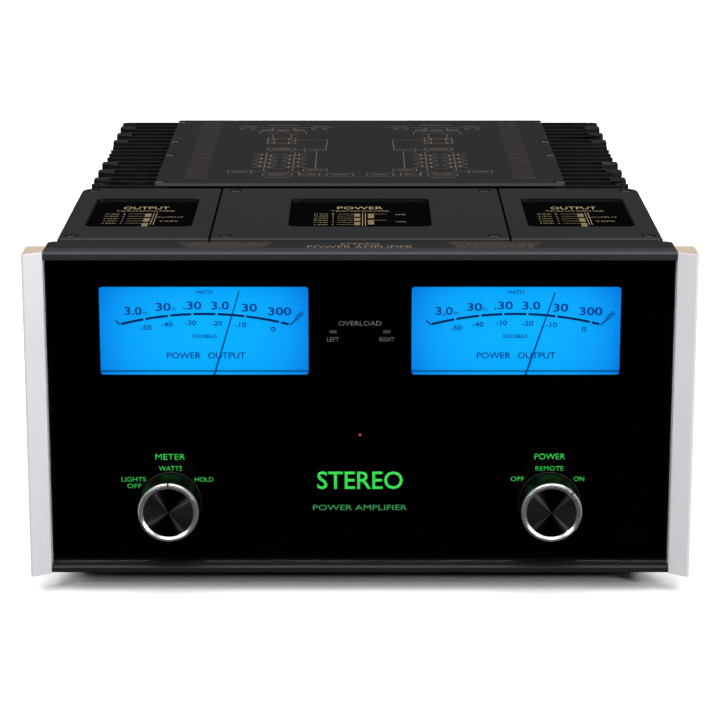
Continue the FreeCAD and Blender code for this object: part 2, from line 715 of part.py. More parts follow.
# ---------------------------------------------------------------- rear panel and connectors
def rear_panel():
    y0, y1 = REAR_PANEL_FRONT - 1, CHASSIS_BACK + 1
    panel = box(-REAR_HALF, REAR_HALF, REAR_PANEL_FRONT, CHASSIS_BACK, FLOOR_TOP, PLATE_LOW)
    cuts = [rod_y(x, POST_Z, 5.3, y0, y1) for x in POST_XS]
    cuts += [rod_y(side * XLR_X, JACK_Z, XLR_RADIUS + TOUCH, y0, y1) for side in (-1, 1)]
    cuts += [rod_y(side * RCA_X, JACK_Z, 3.6, y0, y1) for side in (-1, 1)]
    cuts += [rod_y(x, TRIGGER_Z, 3.1, y0, y1) for x in TRIGGER_XS]
    cuts.append(box(-6, 6, y0, y1, JACK_Z - 3, JACK_Z + 3))
    cuts.append(box(-22.2, 22.2, y0, y1, INLET_Z - 13.2, INLET_Z + 13.2))
    return panel.cut(cuts)


def xlr_shell(side):
    """Balanced input: square flange with a round cup that takes a plug's shell."""
    x = side * XLR_X
    flange = box(x - 13, x + 13, CHASSIS_BACK, XLR_FACE, JACK_Z - 15.5, JACK_Z + 15.5)
    flange = rounded(flange, (0, 1, 0), 2.5)
    barrel = rod_y(x, JACK_Z, XLR_RADIUS, BOARD_FACE, CHASSIS_BACK + 1)
    cuts = [rod_y(x, JACK_Z, 9.6, XLR_FACE - XLR_DEPTH, XLR_FACE + 1)]
    for dx, dz in ((-9.5, 12.0), (9.5, -12.0)):
        cuts.append(rod_y(x + dx, JACK_Z + dz, 1.6, CHASSIS_BACK + 0.6, XLR_FACE + 1))
    return fused([flange, barrel]).cut(cuts)


def xlr_insert(side):
    """Core of a balanced input, with its three contact holes."""
    x = side * XLR_X
    holes = []
    for degrees in (30, 150, 270):
        angle = math.radians(degrees)
        hole_x, hole_z = x + 3.9 * math.cos(angle), JACK_Z + 3.9 * math.sin(angle)
        holes.append(rod_y(hole_x, hole_z, 1.3, XLR_FACE - XLR_DEPTH + 1, XLR_FACE + 1))
    return rod_y(x, JACK_Z, 7.7, XLR_FACE - XLR_DEPTH, XLR_FACE).cut(holes)


def rca_jack(side):
    """Phono input: hexagonal seat, ground sleeve and centre contact."""
    x = side * RCA_X
    body = fused([
        rod_y(x, JACK_Z, 3.5, BOARD_FACE, CHASSIS_BACK + 1),
        hexagon_y(x, JACK_Z, 6.8, CHASSIS_BACK, CHASSIS_BACK + 2.0),
        rod_y(x, JACK_Z, RCA_RADIUS, CHASSIS_BACK + 1, CHASSIS_BACK + 11.0),
    ])
    contact = rod_y(x, JACK_Z, 1.65, CHASSIS_BACK + 1, CHASSIS_BACK + 12)
    return body.cut(contact)


def trigger_jack(x):
    """Small control jack in a hexagonal nut."""
    face = CHASSIS_BACK + 2.4
    body = fused([
        rod_y(x, TRIGGER_Z, 3.0, BOARD_FACE, CHASSIS_BACK + 1),
        hexagon_y(x, TRIGGER_Z, 5.0, CHASSIS_BACK, face),
    ])
    return body.cut(rod_y(x, TRIGGER_Z, TRIGGER_RADIUS, face - TRIGGER_DEPTH, face + 1))


SLIDER_TRAVEL = 5.8
SLIDER_WIDTH = 3.6
SLIDE_HALF = (SLIDER_TRAVEL + SLIDER_WIDTH) / 2 + SLIDING_GAP


def mode_switch_body():
    """Slide switch: bezel on the panel, body behind it, a slot for the slider."""
    body = fused([
        box(-11, 11, CHASSIS_BACK, CHASSIS_BACK + 1, JACK_Z - 5, JACK_Z + 5),
        box(-5.8, 5.8, REAR_PANEL_FRONT - 1, CHASSIS_BACK + 0.5, JACK_Z - 2.8, JACK_Z + 2.8),
        box(-9, 9, BOARD_FACE, REAR_PANEL_FRONT, JACK_Z - 5, JACK_Z + 5),
    ])
    half_height = 1.8 + SLIDING_GAP
    slot = box(
        -SLIDE_HALF, SLIDE_HALF, REAR_PANEL_FRONT - 4, CHASSIS_BACK + 2,
        JACK_Z - half_height, JACK_Z + half_height)
    return body.cut(slot)


def mode_switch_slider():
    """Ribbed slider at the first of three positions."""
    x0 = -SLIDE_HALF + SLIDING_GAP
    x1 = x0 + SLIDER_WIDTH
    front = REAR_PANEL_FRONT - 4 + SLIDING_GAP
    nub = box(x0, x1, front, CHASSIS_BACK + 3.0, JACK_Z - 1.8, JACK_Z + 1.8)
    grip = [
        box(x0 + 0.6 + 0.9 * k, x0 + 1.0 + 0.9 * k, CHASSIS_BACK + 2.5, CHASSIS_BACK + 4,
            JACK_Z - 3, JACK_Z + 3)
        for k in range(3)]
    return nub.cut(grip)


INLET_INNER_BACK = CHASSIS_BACK - 24.0
CAVITY_DEPTH = 17.0
FUSE_RADIUS = 2.5
FUSE_LENGTH = 20.0
FUSE_FRONT = INLET_INNER_BACK + 4.6
FUSE_Z = INLET_Z + 0.5


def ac_inlet():
    """Mains inlet: flange, body, shaped cavity with three blades, slot for the fuse drawer."""
    flange = box(-25, 25, CHASSIS_BACK, INLET_FACE, INLET_Z - 15.5, INLET_Z + 15.5)
    flange = rounded(flange, (0, 1, 0), 2.0)
    body = box(-22, 22, INLET_INNER_BACK, CHASSIS_BACK + 1, INLET_Z - 13, INLET_Z + 13)
    x0, x1 = INLET_CAVITY
    low, high = INLET_Z - INLET_HALF_HEIGHT, INLET_Z + INLET_HALF_HEIGHT
    floor_y = INLET_FACE - CAVITY_DEPTH
    corner = 3.5
    cavity = prism(
        [
            (x0, floor_y, low), (x1, floor_y, low), (x1, floor_y, high - corner),
            (x1 - corner, floor_y, high), (x0 + corner, floor_y, high), (x0, floor_y, high - corner),
        ],
        (0, CAVITY_DEPTH + 1, 0))
    drawer_slot = box(
        DRAWER_SLOT[0], DRAWER_SLOT[1], INLET_INNER_BACK + 2, INLET_FACE + 1, low, high)
    shell = fused([flange, body]).cut([cavity, drawer_slot])
    middle = (x0 + x1) / 2
    blades = []
    for dx, dz in ((-7.0, -2.0), (7.0, -2.0), (0.0, 2.0)):
        blades.append(box(
            middle + dx - 1.0, middle + dx + 1.0, floor_y - 1, floor_y + 12.0,
            INLET_Z + dz - 2.0, INLET_Z + dz + 2.0))
    return fused([shell] + blades)


def fuse_drawer():
    """Drawer with a face plate and a finger ridge; it pulls out to the rear."""
    low, high = INLET_Z - INLET_HALF_HEIGHT, INLET_Z + INLET_HALF_HEIGHT
    x0, x1 = DRAWER_SLOT
    gap = SLIDING_GAP
    tray = box(x0 + gap, x1 - gap, INLET_INNER_BACK + 2.5, INLET_FACE + 1, low + gap, high - gap)
    trough = box(
        x0 + 2.5, x1 - 2.5, FUSE_FRONT - 0.6, FUSE_FRONT + FUSE_LENGTH + 0.6,
        FUSE_Z - FUSE_RADIUS, high + 1)
    face = box(x0 - 1.2, x1 + 1.2, INLET_FACE, INLET_FACE + 1.4, low - 1.2, high + 1.2)
    ridge = box(x0 + 2, x1 - 2, INLET_FACE + 1, INLET_FACE + 2.6, INLET_Z - 1, INLET_Z + 1)
    return fused([tray.cut(trough), face, ridge])


def fuse():
    """Cartridge fuse lying in the drawer's trough: a tube with two wider end caps."""
    x = (DRAWER_SLOT[0] + DRAWER_SLOT[1]) / 2
    back = FUSE_FRONT + FUSE_LENGTH
    return fused([
        rod_y(x, FUSE_Z, FUSE_RADIUS, FUSE_FRONT, FUSE_FRONT + 5.0),
        rod_y(x, FUSE_Z, FUSE_RADIUS - 0.25, FUSE_FRONT + 4.0, back - 4.0),
        rod_y(x, FUSE_Z, FUSE_RADIUS, back - 5.0, back),
    ])


def post_collar(x):
    """Insulating collar of a binding post, with its nut inside the panel."""
    collar = fused([
        rod_y(x, POST_Z, 9.6, CHASSIS_BACK, CHASSIS_BACK + 3.5),
        rod_y(x, POST_Z, 5.2, REAR_PANEL_FRONT - 1, CHASSIS_BACK + 1),
        rod_y(x, POST_Z, 8.0, REAR_PANEL_FRONT - 7, REAR_PANEL_FRONT),
    ])
    return collar.cut(rod_y(x, POST_Z, STEM_RADIUS, REAR_PANEL_FRONT - 9, CHASSIS_BACK + 5))


def post_stem(x):
    """Metal stem with a socket for a 4 mm plug in its end."""
    stem = rod_y(x, POST_Z, STEM_RADIUS, REAR_PANEL_FRONT - 13, REAR_TIP)
    return stem.cut(rod_y(x, POST_Z, BANANA_RADIUS, REAR_TIP - BANANA_DEPTH, REAR_TIP + 1))


def post_nut(x):
    """Six-lobed hand nut around the stem."""
    nut = rod_y(x, POST_Z, NUT_RADIUS, NUT_FRONT, NUT_BACK)
    rims = [edge for edge in nut.Edges if len(edge.Vertexes) == 1]
    nut = nut.makeFillet(0.8, rims)
    cuts = [rod_y(x, POST_Z, STEM_RADIUS + RUNNING_GAP, NUT_FRONT - 1, NUT_BACK + 1)]
    for lobe in range(6):
        angle = math.radians(30 + 60 * lobe)
        flute_x = x + 11.2 * math.cos(angle)
        flute_z = POST_Z + 11.2 * math.sin(angle)
        cuts.append(rod_y(flute_x, flute_z, 3.4, NUT_FRONT + 2.0, NUT_BACK + 1))
    return nut.cut(cuts)


# ---------------------------------------------------------------- write the nodes
def write_front():
    cap = end_cap()
    save("end_cap_right", cap)
    save("end_cap_left", mirrored(cap))
    save("trim_top", trim(PANEL_TOP - TOP_TRIM_HEIGHT, PANEL_TOP))
    save("trim_bottom", trim(TRIM_BOTTOM, TRIM_BOTTOM + BOTTOM_TRIM_HEIGHT))
    save("front_glass", front_glass())
    save("glass_mask", glass_mask())
    save("front_housing", front_housing())
    save("display_board", display_board())
    save("indicator_lenses", *light_pipes(GLASS_BACK, PANEL_FRONT + 31.0, 0.0))


def write_meters():
    save("meter_case_left", meter_case(-1))
    save("meter_case_right", meter_case(1))
    save("meter_dials", meter_dial(-1), meter_dial(1))
    save("meter_needle_left", meter_needle(-1, LEFT_NEEDLE_TILT))
    save("meter_needle_right", meter_needle(1, RIGHT_NEEDLE_TILT))
    save("meter_movements", meter_movement(-1), meter_movement(1))
    save("meter_lamps", *(meter_lamps(-1) + meter_lamps(1)))


def write_knobs():
    save("knob_meter_body", knob_body(-KNOB_X, 0.0))
    save("knob_meter_ring", knob_ring(-KNOB_X, 0.0))
    save("meter_switch_shaft", switch_shaft(-KNOB_X))
    save("knob_power_body", knob_body(KNOB_X, POWER_KNOB_TURN))
    save("knob_power_ring", knob_ring(KNOB_X, POWER_KNOB_TURN))
    save("power_switch_shaft", switch_shaft(KNOB_X))
    save("rotary_switches", rotary_switch(-KNOB_X), rotary_switch(KNOB_X))


def write_chassis():
    save("chassis_pan", chassis_pan())
    save("feet", *[foot(x, y) for x, y in FEET])
    save("foot_screws", *[foot_screw(x, y) for x, y in FEET])


def write_transformers():
    cover = side_cover()
    save("cover_right", cover)
    save("cover_left", mirrored(cover))
    save("cover_centre", centre_cover())
    side_label = cover_label(*SIDE_LABEL)
    centre_label = cover_label(-CENTRE_LABEL_HALF, CENTRE_LABEL_HALF)
    save("cover_labels", mirrored(side_label), centre_label, side_label)
    screws = []
    for side in (-1, 1):
        for x in COVER_SCREW_X:
            for y in COVER_SCREW_Y:
                screws.append(cover_screw(side * x, y, PANEL_TOP - COVER_PIT))
        for y in PLATE_SCREW_Y:
            screws.append(cover_screw(side * PLATE_SCREW_X, y, HEIGHT - PLATE_PIT))
    save("cover_screws", *screws)
    middle_y = (COVER_FRONT + COVER_BACK) / 2
    cores, windings = [], []
    supply = transformer(0, middle_y, (150, 135), 48, 68, (98, 104), True)
    output = transformer(OUTPUT_X, middle_y, (118, 122), 34, 42, (78, 76), False)
    for core, winding in (supply, output):
        cores.append(core)
        windings.append(winding)
    cores.append(mirrored(output[0]))
    windings.append(mirrored(output[1]))
    save("transformer_cores", *cores)
    save("transformer_windings", *windings)


def write_heat_and_electronics():
    sink = heat_sink()
    save("heat_sink_right", *sink)
    save("heat_sink_left", *[mirrored(piece) for piece in sink])
    save("top_cover", top_cover())
    save("power_transistors", *power_transistors())
    save("driver_boards", driver_board(-1), driver_board(1))
    save("filter_capacitors", *[filter_can(x, y) for x, y in CAN_CENTRES])
    save("supply_board", supply_board())
    save("input_board", input_board())


def write_rear():
    save("rear_panel", rear_panel())
    save("xlr_jacks", xlr_shell(-1), xlr_insert(-1), xlr_shell(1), xlr_insert(1))
    save("rca_jacks", rca_jack(-1), rca_jack(1))
    save("trigger_jacks", *[trigger_jack(x) for x in TRIGGER_XS])
    save("mode_switch_body", mode_switch_body())
    save("mode_switch_slider", mode_switch_slider())
    save("ac_inlet", ac_inlet())
    save("fuse_drawer", fuse_drawer())
    save("fuse", fuse())
    save("binding_post_collars", *[post_collar(x) for x in POST_XS])
    save("binding_post_stems", *[post_stem(x) for x in POST_XS])
    taps = ("common", "2_ohm", "4_ohm", "8_ohm")
    for index, x in enumerate(POST_XS):
        channel = "left" if x < 0 else "right"
        save("post_nut_" + channel + "_" + taps[index % 4], post_nut(x))


os.makedirs("parts", exist_ok=True)
write_front()
write_meters()
write_knobs()
write_chassis()
write_transformers()
write_heat_and_electronics()
write_rear()
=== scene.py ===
"""The looks of a stereo power amplifier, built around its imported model.

Metres, in the model's frame: +X to the right from the front, +Y to the rear, +Z up.
"""
import json
import math

import bmesh
import bpy
from mathutils import Matrix, Vector

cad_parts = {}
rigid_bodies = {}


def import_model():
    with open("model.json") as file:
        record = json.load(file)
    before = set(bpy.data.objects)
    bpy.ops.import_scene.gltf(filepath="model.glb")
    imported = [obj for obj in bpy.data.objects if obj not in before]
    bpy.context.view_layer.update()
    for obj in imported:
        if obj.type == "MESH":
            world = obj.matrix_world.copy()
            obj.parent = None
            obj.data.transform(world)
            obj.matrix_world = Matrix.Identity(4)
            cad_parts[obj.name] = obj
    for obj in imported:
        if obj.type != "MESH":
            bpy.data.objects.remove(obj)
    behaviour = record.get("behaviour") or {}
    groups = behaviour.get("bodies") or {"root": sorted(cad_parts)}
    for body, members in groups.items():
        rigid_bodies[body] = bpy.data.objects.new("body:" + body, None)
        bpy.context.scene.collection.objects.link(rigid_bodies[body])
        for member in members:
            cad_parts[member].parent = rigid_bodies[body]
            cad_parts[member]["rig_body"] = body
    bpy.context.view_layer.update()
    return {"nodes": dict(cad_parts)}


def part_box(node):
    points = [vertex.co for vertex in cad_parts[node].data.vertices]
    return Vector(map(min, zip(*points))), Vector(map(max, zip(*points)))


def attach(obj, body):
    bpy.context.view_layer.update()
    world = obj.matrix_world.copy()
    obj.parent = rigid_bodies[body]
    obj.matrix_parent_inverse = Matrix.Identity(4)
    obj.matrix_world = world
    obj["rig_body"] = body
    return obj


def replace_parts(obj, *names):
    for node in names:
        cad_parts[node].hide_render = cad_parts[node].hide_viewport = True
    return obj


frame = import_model()
NODES = frame["nodes"]
MM = 0.001


# ---------------------------------------------------------------- material kit
class Finish:
    """A material with one Principled shader and the nodes that vary it over the surface."""

    def __init__(self, name, colour, roughness, **constants):
        self.material = bpy.data.materials.new(name)
        self.material.use_nodes = True
        self.tree = self.material.node_tree
        self.shader = self.tree.nodes["Principled BSDF"]
        self.colour = colour
        self.put(self.shader, "Base Color", (*colour, 1))
        self.put(self.shader, "Roughness", roughness)
        for socket, value in constants.items():
            self.put(self.shader, socket.replace("_", " "), value)
        self.place = self.add("ShaderNodeTexCoord").outputs["Object"]

    def put(self, node, socket, value):
        target = node.inputs[socket]
        if isinstance(value, bpy.types.NodeSocket):
            self.tree.links.new(value, target)
        else:
            target.default_value = value

    def add(self, kind, sockets=None, **settings):
        node = self.tree.nodes.new(kind)
        for key, value in settings.items():
            setattr(node, key, value)
        for socket, value in (sockets or {}).items():
            self.put(node, socket, value)
        return node

    def stretched(self, x=1.0, y=1.0, z=1.0):
        """The place, drawn out along the axes whose factor is small."""
        return self.add("ShaderNodeMapping", {"Vector": self.place, "Scale": (x, y, z)}).outputs[0]

    def noise(self, scale, detail=3.0, place=None):
        sockets = {"Vector": place or self.place, "Scale": scale, "Detail": detail}
        return self.add("ShaderNodeTexNoise", sockets).outputs["Fac"]

    def waves(self, scale, direction, distortion=0.0):
        sockets = {"Vector": self.place, "Scale": scale, "Distortion": distortion, "Detail": 1.0}
        return self.add("ShaderNodeTexWave", sockets, bands_direction=direction).outputs["Fac"]

    def math(self, operation, a, b=0.0, clamp=False):
        return self.add("ShaderNodeMath", {0: a, 1: b}, operation=operation, use_clamp=clamp).outputs[0]

    def blended(self, a, share_a, b, share_b, clamp=False):
        """Two factors added up, each by its own share."""
        return self.math("ADD", self.math("MULTIPLY", a, share_a), self.math("MULTIPLY", b, share_b), clamp)

    def part(self, axis):
        """One coordinate of the place: X, Y or Z."""
        return self.add("ShaderNodeSeparateXYZ", {"Vector": self.place}).outputs[axis]

    def between(self, factor, low, high, start=0.0, end=1.0):
        sockets = {"Value": factor, "From Min": start, "From Max": end, "To Min": low, "To Max": high}
        return self.add("ShaderNodeMapRange", sockets).outputs[0]

    def mixed(self, factor, colour_a, colour_b, blend="MIX"):
        node = self.add("ShaderNodeMix", data_type="RGBA", blend_type=blend)
        self.put(node, 0, factor)
        for index, colour in ((6, colour_a), (7, colour_b)):
            self.put(node, index, (*colour, 1) if isinstance(colour, tuple) else colour)
        return node.outputs[2]

    def tone(self, factor, low, high):
        """The base colour goes from low to high times itself with the factor."""
        dark, light = (tuple(min(1.0, c * share) for c in self.colour) for share in (low, high))
        colour = self.mixed(factor, dark, light)
        self.put(self.shader, "Base Color", colour)
        return colour

    def rough(self, factor, low, high):
        self.put(self.shader, "Roughness", self.between(factor, low, high))

    def bump(self, height, distance, strength=1.0):
        sockets = {"Height": height, "Distance": distance, "Strength": strength}
        self.put(self.shader, "Normal", self.add("ShaderNodeBump", sockets).outputs[0])


def painted(name, colour, roughness=0.36, grain=2400.0, depth=0.00003, specular=0.25):
    """Powder coat: a fine even orange peel, with faint clouds of tone and gloss."""
    finish = Finish(name, colour, roughness, Specular_IOR_Level=specular)
    clouds = finish.noise(9.0, 4.0)
    peel = finish.noise(grain, 2.0)
    finish.tone(finish.blended(clouds, 0.6, peel, 0.4), 0.72, 1.28)
    finish.rough(peel, roughness - 0.08, roughness + 0.08)
    finish.bump(peel, depth)
    return finish


def anodised(name, colour, roughness, stretch, depth=0.00002, metallic=1.0, specular=0.5):
    """Drawn or brushed aluminium: fine lines along one axis under an even dye."""
    finish = Finish(name, colour, roughness, Metallic=metallic, Specular_IOR_Level=specular)
    lines = finish.noise(1500.0, 4.0, finish.stretched(*stretch))
    clouds = finish.noise(14.0, 3.0)
    finish.tone(finish.blended(lines, 0.5, clouds, 0.5), 0.86, 1.12)
    finish.rough(lines, roughness - 0.07, roughness + 0.07)
    finish.bump(lines, depth, 0.6)
    return finish


def blasted(name, colour, roughness, upward_sheen):
    """Bead-blasted aluminium: a fine sparkle, with a painted warm sheen on the faces that look up, where
    the light from above falls.
    """
    finish = Finish(name, colour, roughness, Metallic=0.35)
    grain = finish.noise(3200.0, 2.0)
    clouds = finish.noise(20.0, 3.0)
    plain = finish.tone(finish.blended(grain, 0.55, clouds, 0.45), 0.9, 1.08)
    # Painted warm sheen: faces that look up take a warm colour that stands in for the light from above.
    normal = finish.add("ShaderNodeNewGeometry").outputs["True Normal"]
    facing = finish.add("ShaderNodeSeparateXYZ", {"Vector": normal})
    upward_sheen_mask = finish.between(facing.outputs["Z"], 0.0, 1.0, 0.5, 0.8)
    finish.put(finish.shader, "Base Color", finish.mixed(upward_sheen_mask, plain, upward_sheen))
    finish.rough(grain, roughness - 0.06, roughness + 0.06)
    finish.bump(grain, 0.00004, 0.5)
    return finish


def moulded(name, colour, roughness=0.45, grain=1100.0, depth=0.00003, specular=0.4, **constants):
    """Moulded plastic or rubber: a fine spark texture and slight changes of gloss."""
    finish = Finish(name, colour, roughness, Specular_IOR_Level=specular, **constants)
    grit = finish.noise(grain, 3.0)
    clouds = finish.noise(30.0, 2.0)
    finish.tone(clouds, 0.8, 1.2)
    finish.rough(grit, roughness - 0.08, roughness + 0.08)
    finish.bump(grit, depth, 0.7)
    return finish


def plated(name, colour, roughness=0.15):
    """Polished or plated metal with faint scratches and smears."""
    finish = Finish(name, colour, roughness, Metallic=1.0)
    scratches = finish.noise(900.0, 5.0, finish.stretched(1.0, 0.06, 1.0))
    smears = finish.noise(60.0, 2.0)
    finish.tone(smears, 0.88, 1.08)
    finish.rough(scratches, roughness * 0.7, roughness * 1.6)
    finish.bump(scratches, 0.000006, 0.5)
    return finish


BLACKENED = (0.05, 0.048, 0.046)


def screw_steel(name, plate_front):
    """Blackened screws in the covers, plain steel ones in the top plate behind them."""
    finish = plated(name, BLACKENED, 0.32)
    behind = finish.between(finish.part("Y"), 0.0, 1.0, plate_front, plate_front + MM)
    finish.put(finish.shader, "Base Color", finish.mixed(behind, BLACKENED, (0.24, 0.215, 0.185)))
    return finish


def turned(name, colour, roughness, anisotropy, metallic=1.0, rings=9000.0):
    """Metal turned on a lathe about an axis along Y: rings that draw its highlights into fans."""
    finish = Finish(name, colour, roughness, Metallic=metallic, Anisotropic=anisotropy)
    tangent = finish.add("ShaderNodeTangent", direction_type="RADIAL", axis="Y").outputs[0]
    finish.put(finish.shader, "Tangent", tangent)
    smears = finish.noise(120.0, 3.0)
    finish.tone(smears, 0.85, 1.15)
    finish.rough(finish.noise(rings, 1.0), roughness - 0.05, roughness + 0.05)
    return finish


def board(name, colour):
    """Circuit board: solder mask over a maze of copper tracks and dots of tin."""
    finish = Finish(name, colour, 0.35)
    cells = finish.add("ShaderNodeTexVoronoi", {"Vector": finish.place, "Scale": 260.0},
                       distance="MANHATTAN")
    tracks = finish.between(cells.outputs["Distance"], 1.0, 0.0, 0.3, 0.36)
    pads = finish.between(cells.outputs["Distance"], 1.0, 0.0, 0.06, 0.1)
    masked = finish.mixed(tracks, colour, tuple(min(1.0, c * 1.9) for c in colour))
    finish.put(finish.shader, "Base Color", finish.mixed(pads, masked, (0.5, 0.5, 0.46)))
    finish.rough(finish.noise(400.0), 0.28, 0.45)
    finish.bump(tracks, 0.00004)
    return finish


def wound(name, colour):
    """Enamelled wire in close turns."""
    finish = Finish(name, colour, 0.3, Metallic=0.8)
    turns = finish.waves(330.0, "Z", 0.6)
    finish.tone(turns, 0.35, 1.25)
    finish.rough(finish.noise(200.0), 0.22, 0.42)
    finish.bump(turns, 0.0003)
    return finish


def laminated(name, colour):
    """Stacked iron sheets, with rust-brown varnish between them."""
    finish = Finish(name, colour, 0.5, Metallic=0.6)
    sheets = finish.waves(420.0, "Y", 0.3)
    varnish = finish.noise(25.0, 4.0)
    finish.put(finish.shader, "Base Color", finish.mixed(
        finish.math("MULTIPLY", sheets, varnish), (0.06, 0.035, 0.025), colour))
    finish.rough(varnish, 0.38, 0.62)
    finish.bump(sheets, 0.00012)
    return finish


def glowing(name, colour, strength):
    """Plastic so thin that the light behind it shows through."""
    finish = moulded(name, colour, 0.5, specular=0.1)
    finish.put(finish.shader, "Emission Color", finish.tone(finish.noise(200.0), 0.9, 1.1))
    finish.put(finish.shader, "Emission Strength", strength)
    return finish


def pane(name, colour, roughness, dust=0.02):
    """Clear glass with a faint film of dust."""
    finish = Finish(name, colour, roughness, Transmission_Weight=1.0, IOR=1.45)
    film = finish.noise(35.0, 4.0)
    finish.tone(film, 0.98, 1.02)
    finish.rough(film, roughness, roughness + dust)
    return finish


def ink(name, colour, glow=0.0, grain=900.0):
    """Screen print: slightly uneven cover, and its own light where a lamp shines through it."""
    finish = Finish(name, colour, 0.5, Specular_IOR_Level=0.2)
    cover = finish.noise(grain, 2.0)
    shade = finish.tone(cover, 0.85, 1.1)
    finish.rough(cover, 0.42, 0.6)
    if glow:
        finish.put(finish.shader, "Emission Color", shade)
        finish.put(finish.shader, "Emission Strength", glow)
    return finish


def lit_dial(name, centre_x, half_width, low, high):
    """Dial lit from behind: brightest in the middle, deeper blue towards its ends and edges."""
    finish = Finish(name, (0.0, 0.05, 0.12), 0.5, Specular_IOR_Level=0.2)
    from_centre = finish.math("SUBTRACT", finish.math("ABSOLUTE", finish.part("X")), centre_x)
    across = finish.between(finish.math("ABSOLUTE", from_centre), 0.0, 1.0, 0.0, half_width)
    ends = finish.math("POWER", across, 3.0)
    height = finish.between(finish.part("Z"), -1.0, 1.0, low, high)
    edges = finish.math("POWER", finish.math("ABSOLUTE", height), 3.0)
    blue = finish.mixed(finish.blended(ends, 0.75, edges, 0.3, True), (0.0, 0.42, 1.0), (0.0, 0.17, 0.7))
    paper = finish.between(finish.noise(600.0), 0.97, 1.03)
    paper_grey = finish.add("ShaderNodeCombineXYZ", {"X": paper, "Y": paper, "Z": paper}).outputs[0]
    finish.put(finish.shader, "Emission Color", finish.mixed(1.0, blue, paper_grey, "MULTIPLY"))
    finish.put(finish.shader, "Emission Strength", 1.05)
    finish.rough(paper, 0.45, 0.55)
    return finish


def pilot(name, red_half_width):
    """Light pipes: the middle one glows red, the two level lights rest dim."""
    finish = moulded(name, (0.07, 0.05, 0.068), 0.3)
    out = finish.math("ABSOLUTE", finish.part("X"))
    red = finish.between(out, 1.0, 0.0, red_half_width, red_half_width * 1.2)
    glow = finish.mixed(red, (0.045, 0.035, 0.045), (0.5, 0.03, 0.045))
    finish.put(finish.shader, "Emission Color", glow)
    finish.put(finish.shader, "Emission Strength", 0.9)
    return finish


def sleeved(name, colour):
    """Shrink sleeve of a capacitor, with its pale stripe."""
    finish = moulded(name, colour, 0.3)
    stripe = finish.between(finish.waves(7.0, "X"), 0.0, 1.0, 0.93, 0.95)
    finish.put(finish.shader, "Base Color", finish.mixed(stripe, colour, (0.5, 0.5, 0.52)))
    return finish


ALONG_X = (0.02, 1.0, 1.0)
ALONG_Z = (1.0, 1.0, 0.02)
METER_X = sum(corner.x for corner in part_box("meter_case_right")) / 2
DIAL_LOW, DIAL_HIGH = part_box("meter_dials")
DIAL_LIT_HALF = 0.07                # from a dial's middle to where its light has faded most
RED_LIGHT_HALF = 0.004
GLASS_LOW, GLASS_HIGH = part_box("front_glass")
BOND_GAP = 0.1 * MM                 # between the glass and the mask behind it
PRINT_GAP = 0.01 * MM               # between a surface and the ink on it
INK_AHEAD = 0.02 * MM               # from the mask or a dial forward to the ink before it
INK_SUNK = 0.02 * MM                # how deep the top plate's ink goes into the plate

# The top plate's air slots, one band on each side, and the blades across each slot.
VENT_BAND = (114.55 * MM, 131.55 * MM)
VENT_START = 21.0 * MM
VENT_COUNT = 32
VENT_PITCH = 8.0 * MM
VENT_SLOT = 5.2 * MM
VENT_BLADES = 3
BLADE_SHARE = 0.55                  # of the room that each blade has in its slot
BLADE_OFFSET = 0.25
BLADE_TOP, BLADE_BOTTOM = 0.25 * MM, 1.4 * MM

SEAT_INNER, SEAT_OUTER = 20.5 * MM, 21.0 * MM
SEAT_HEIGHT = 0.3 * MM
SEAT_ROUNDING = 0.1 * MM
SEAT_CHAMFER = 0.15 * MM
SEAT_STEPS = 96

# Widths in millimetres of the eased edges on the parts that show them.
EASED_EDGES = {
    "end_cap_left": 0.5, "end_cap_right": 0.5, "trim_top": 0.3, "trim_bottom": 0.3, "front_housing": 0.5,
    "cover_left": 0.8, "cover_centre": 0.8, "cover_right": 0.8, "top_cover": 0.3, "chassis_pan": 0.35,
    "rear_panel": 0.2, "heat_sink_left": 0.3, "heat_sink_right": 0.3,
}
GLASS_EDGE = 0.3

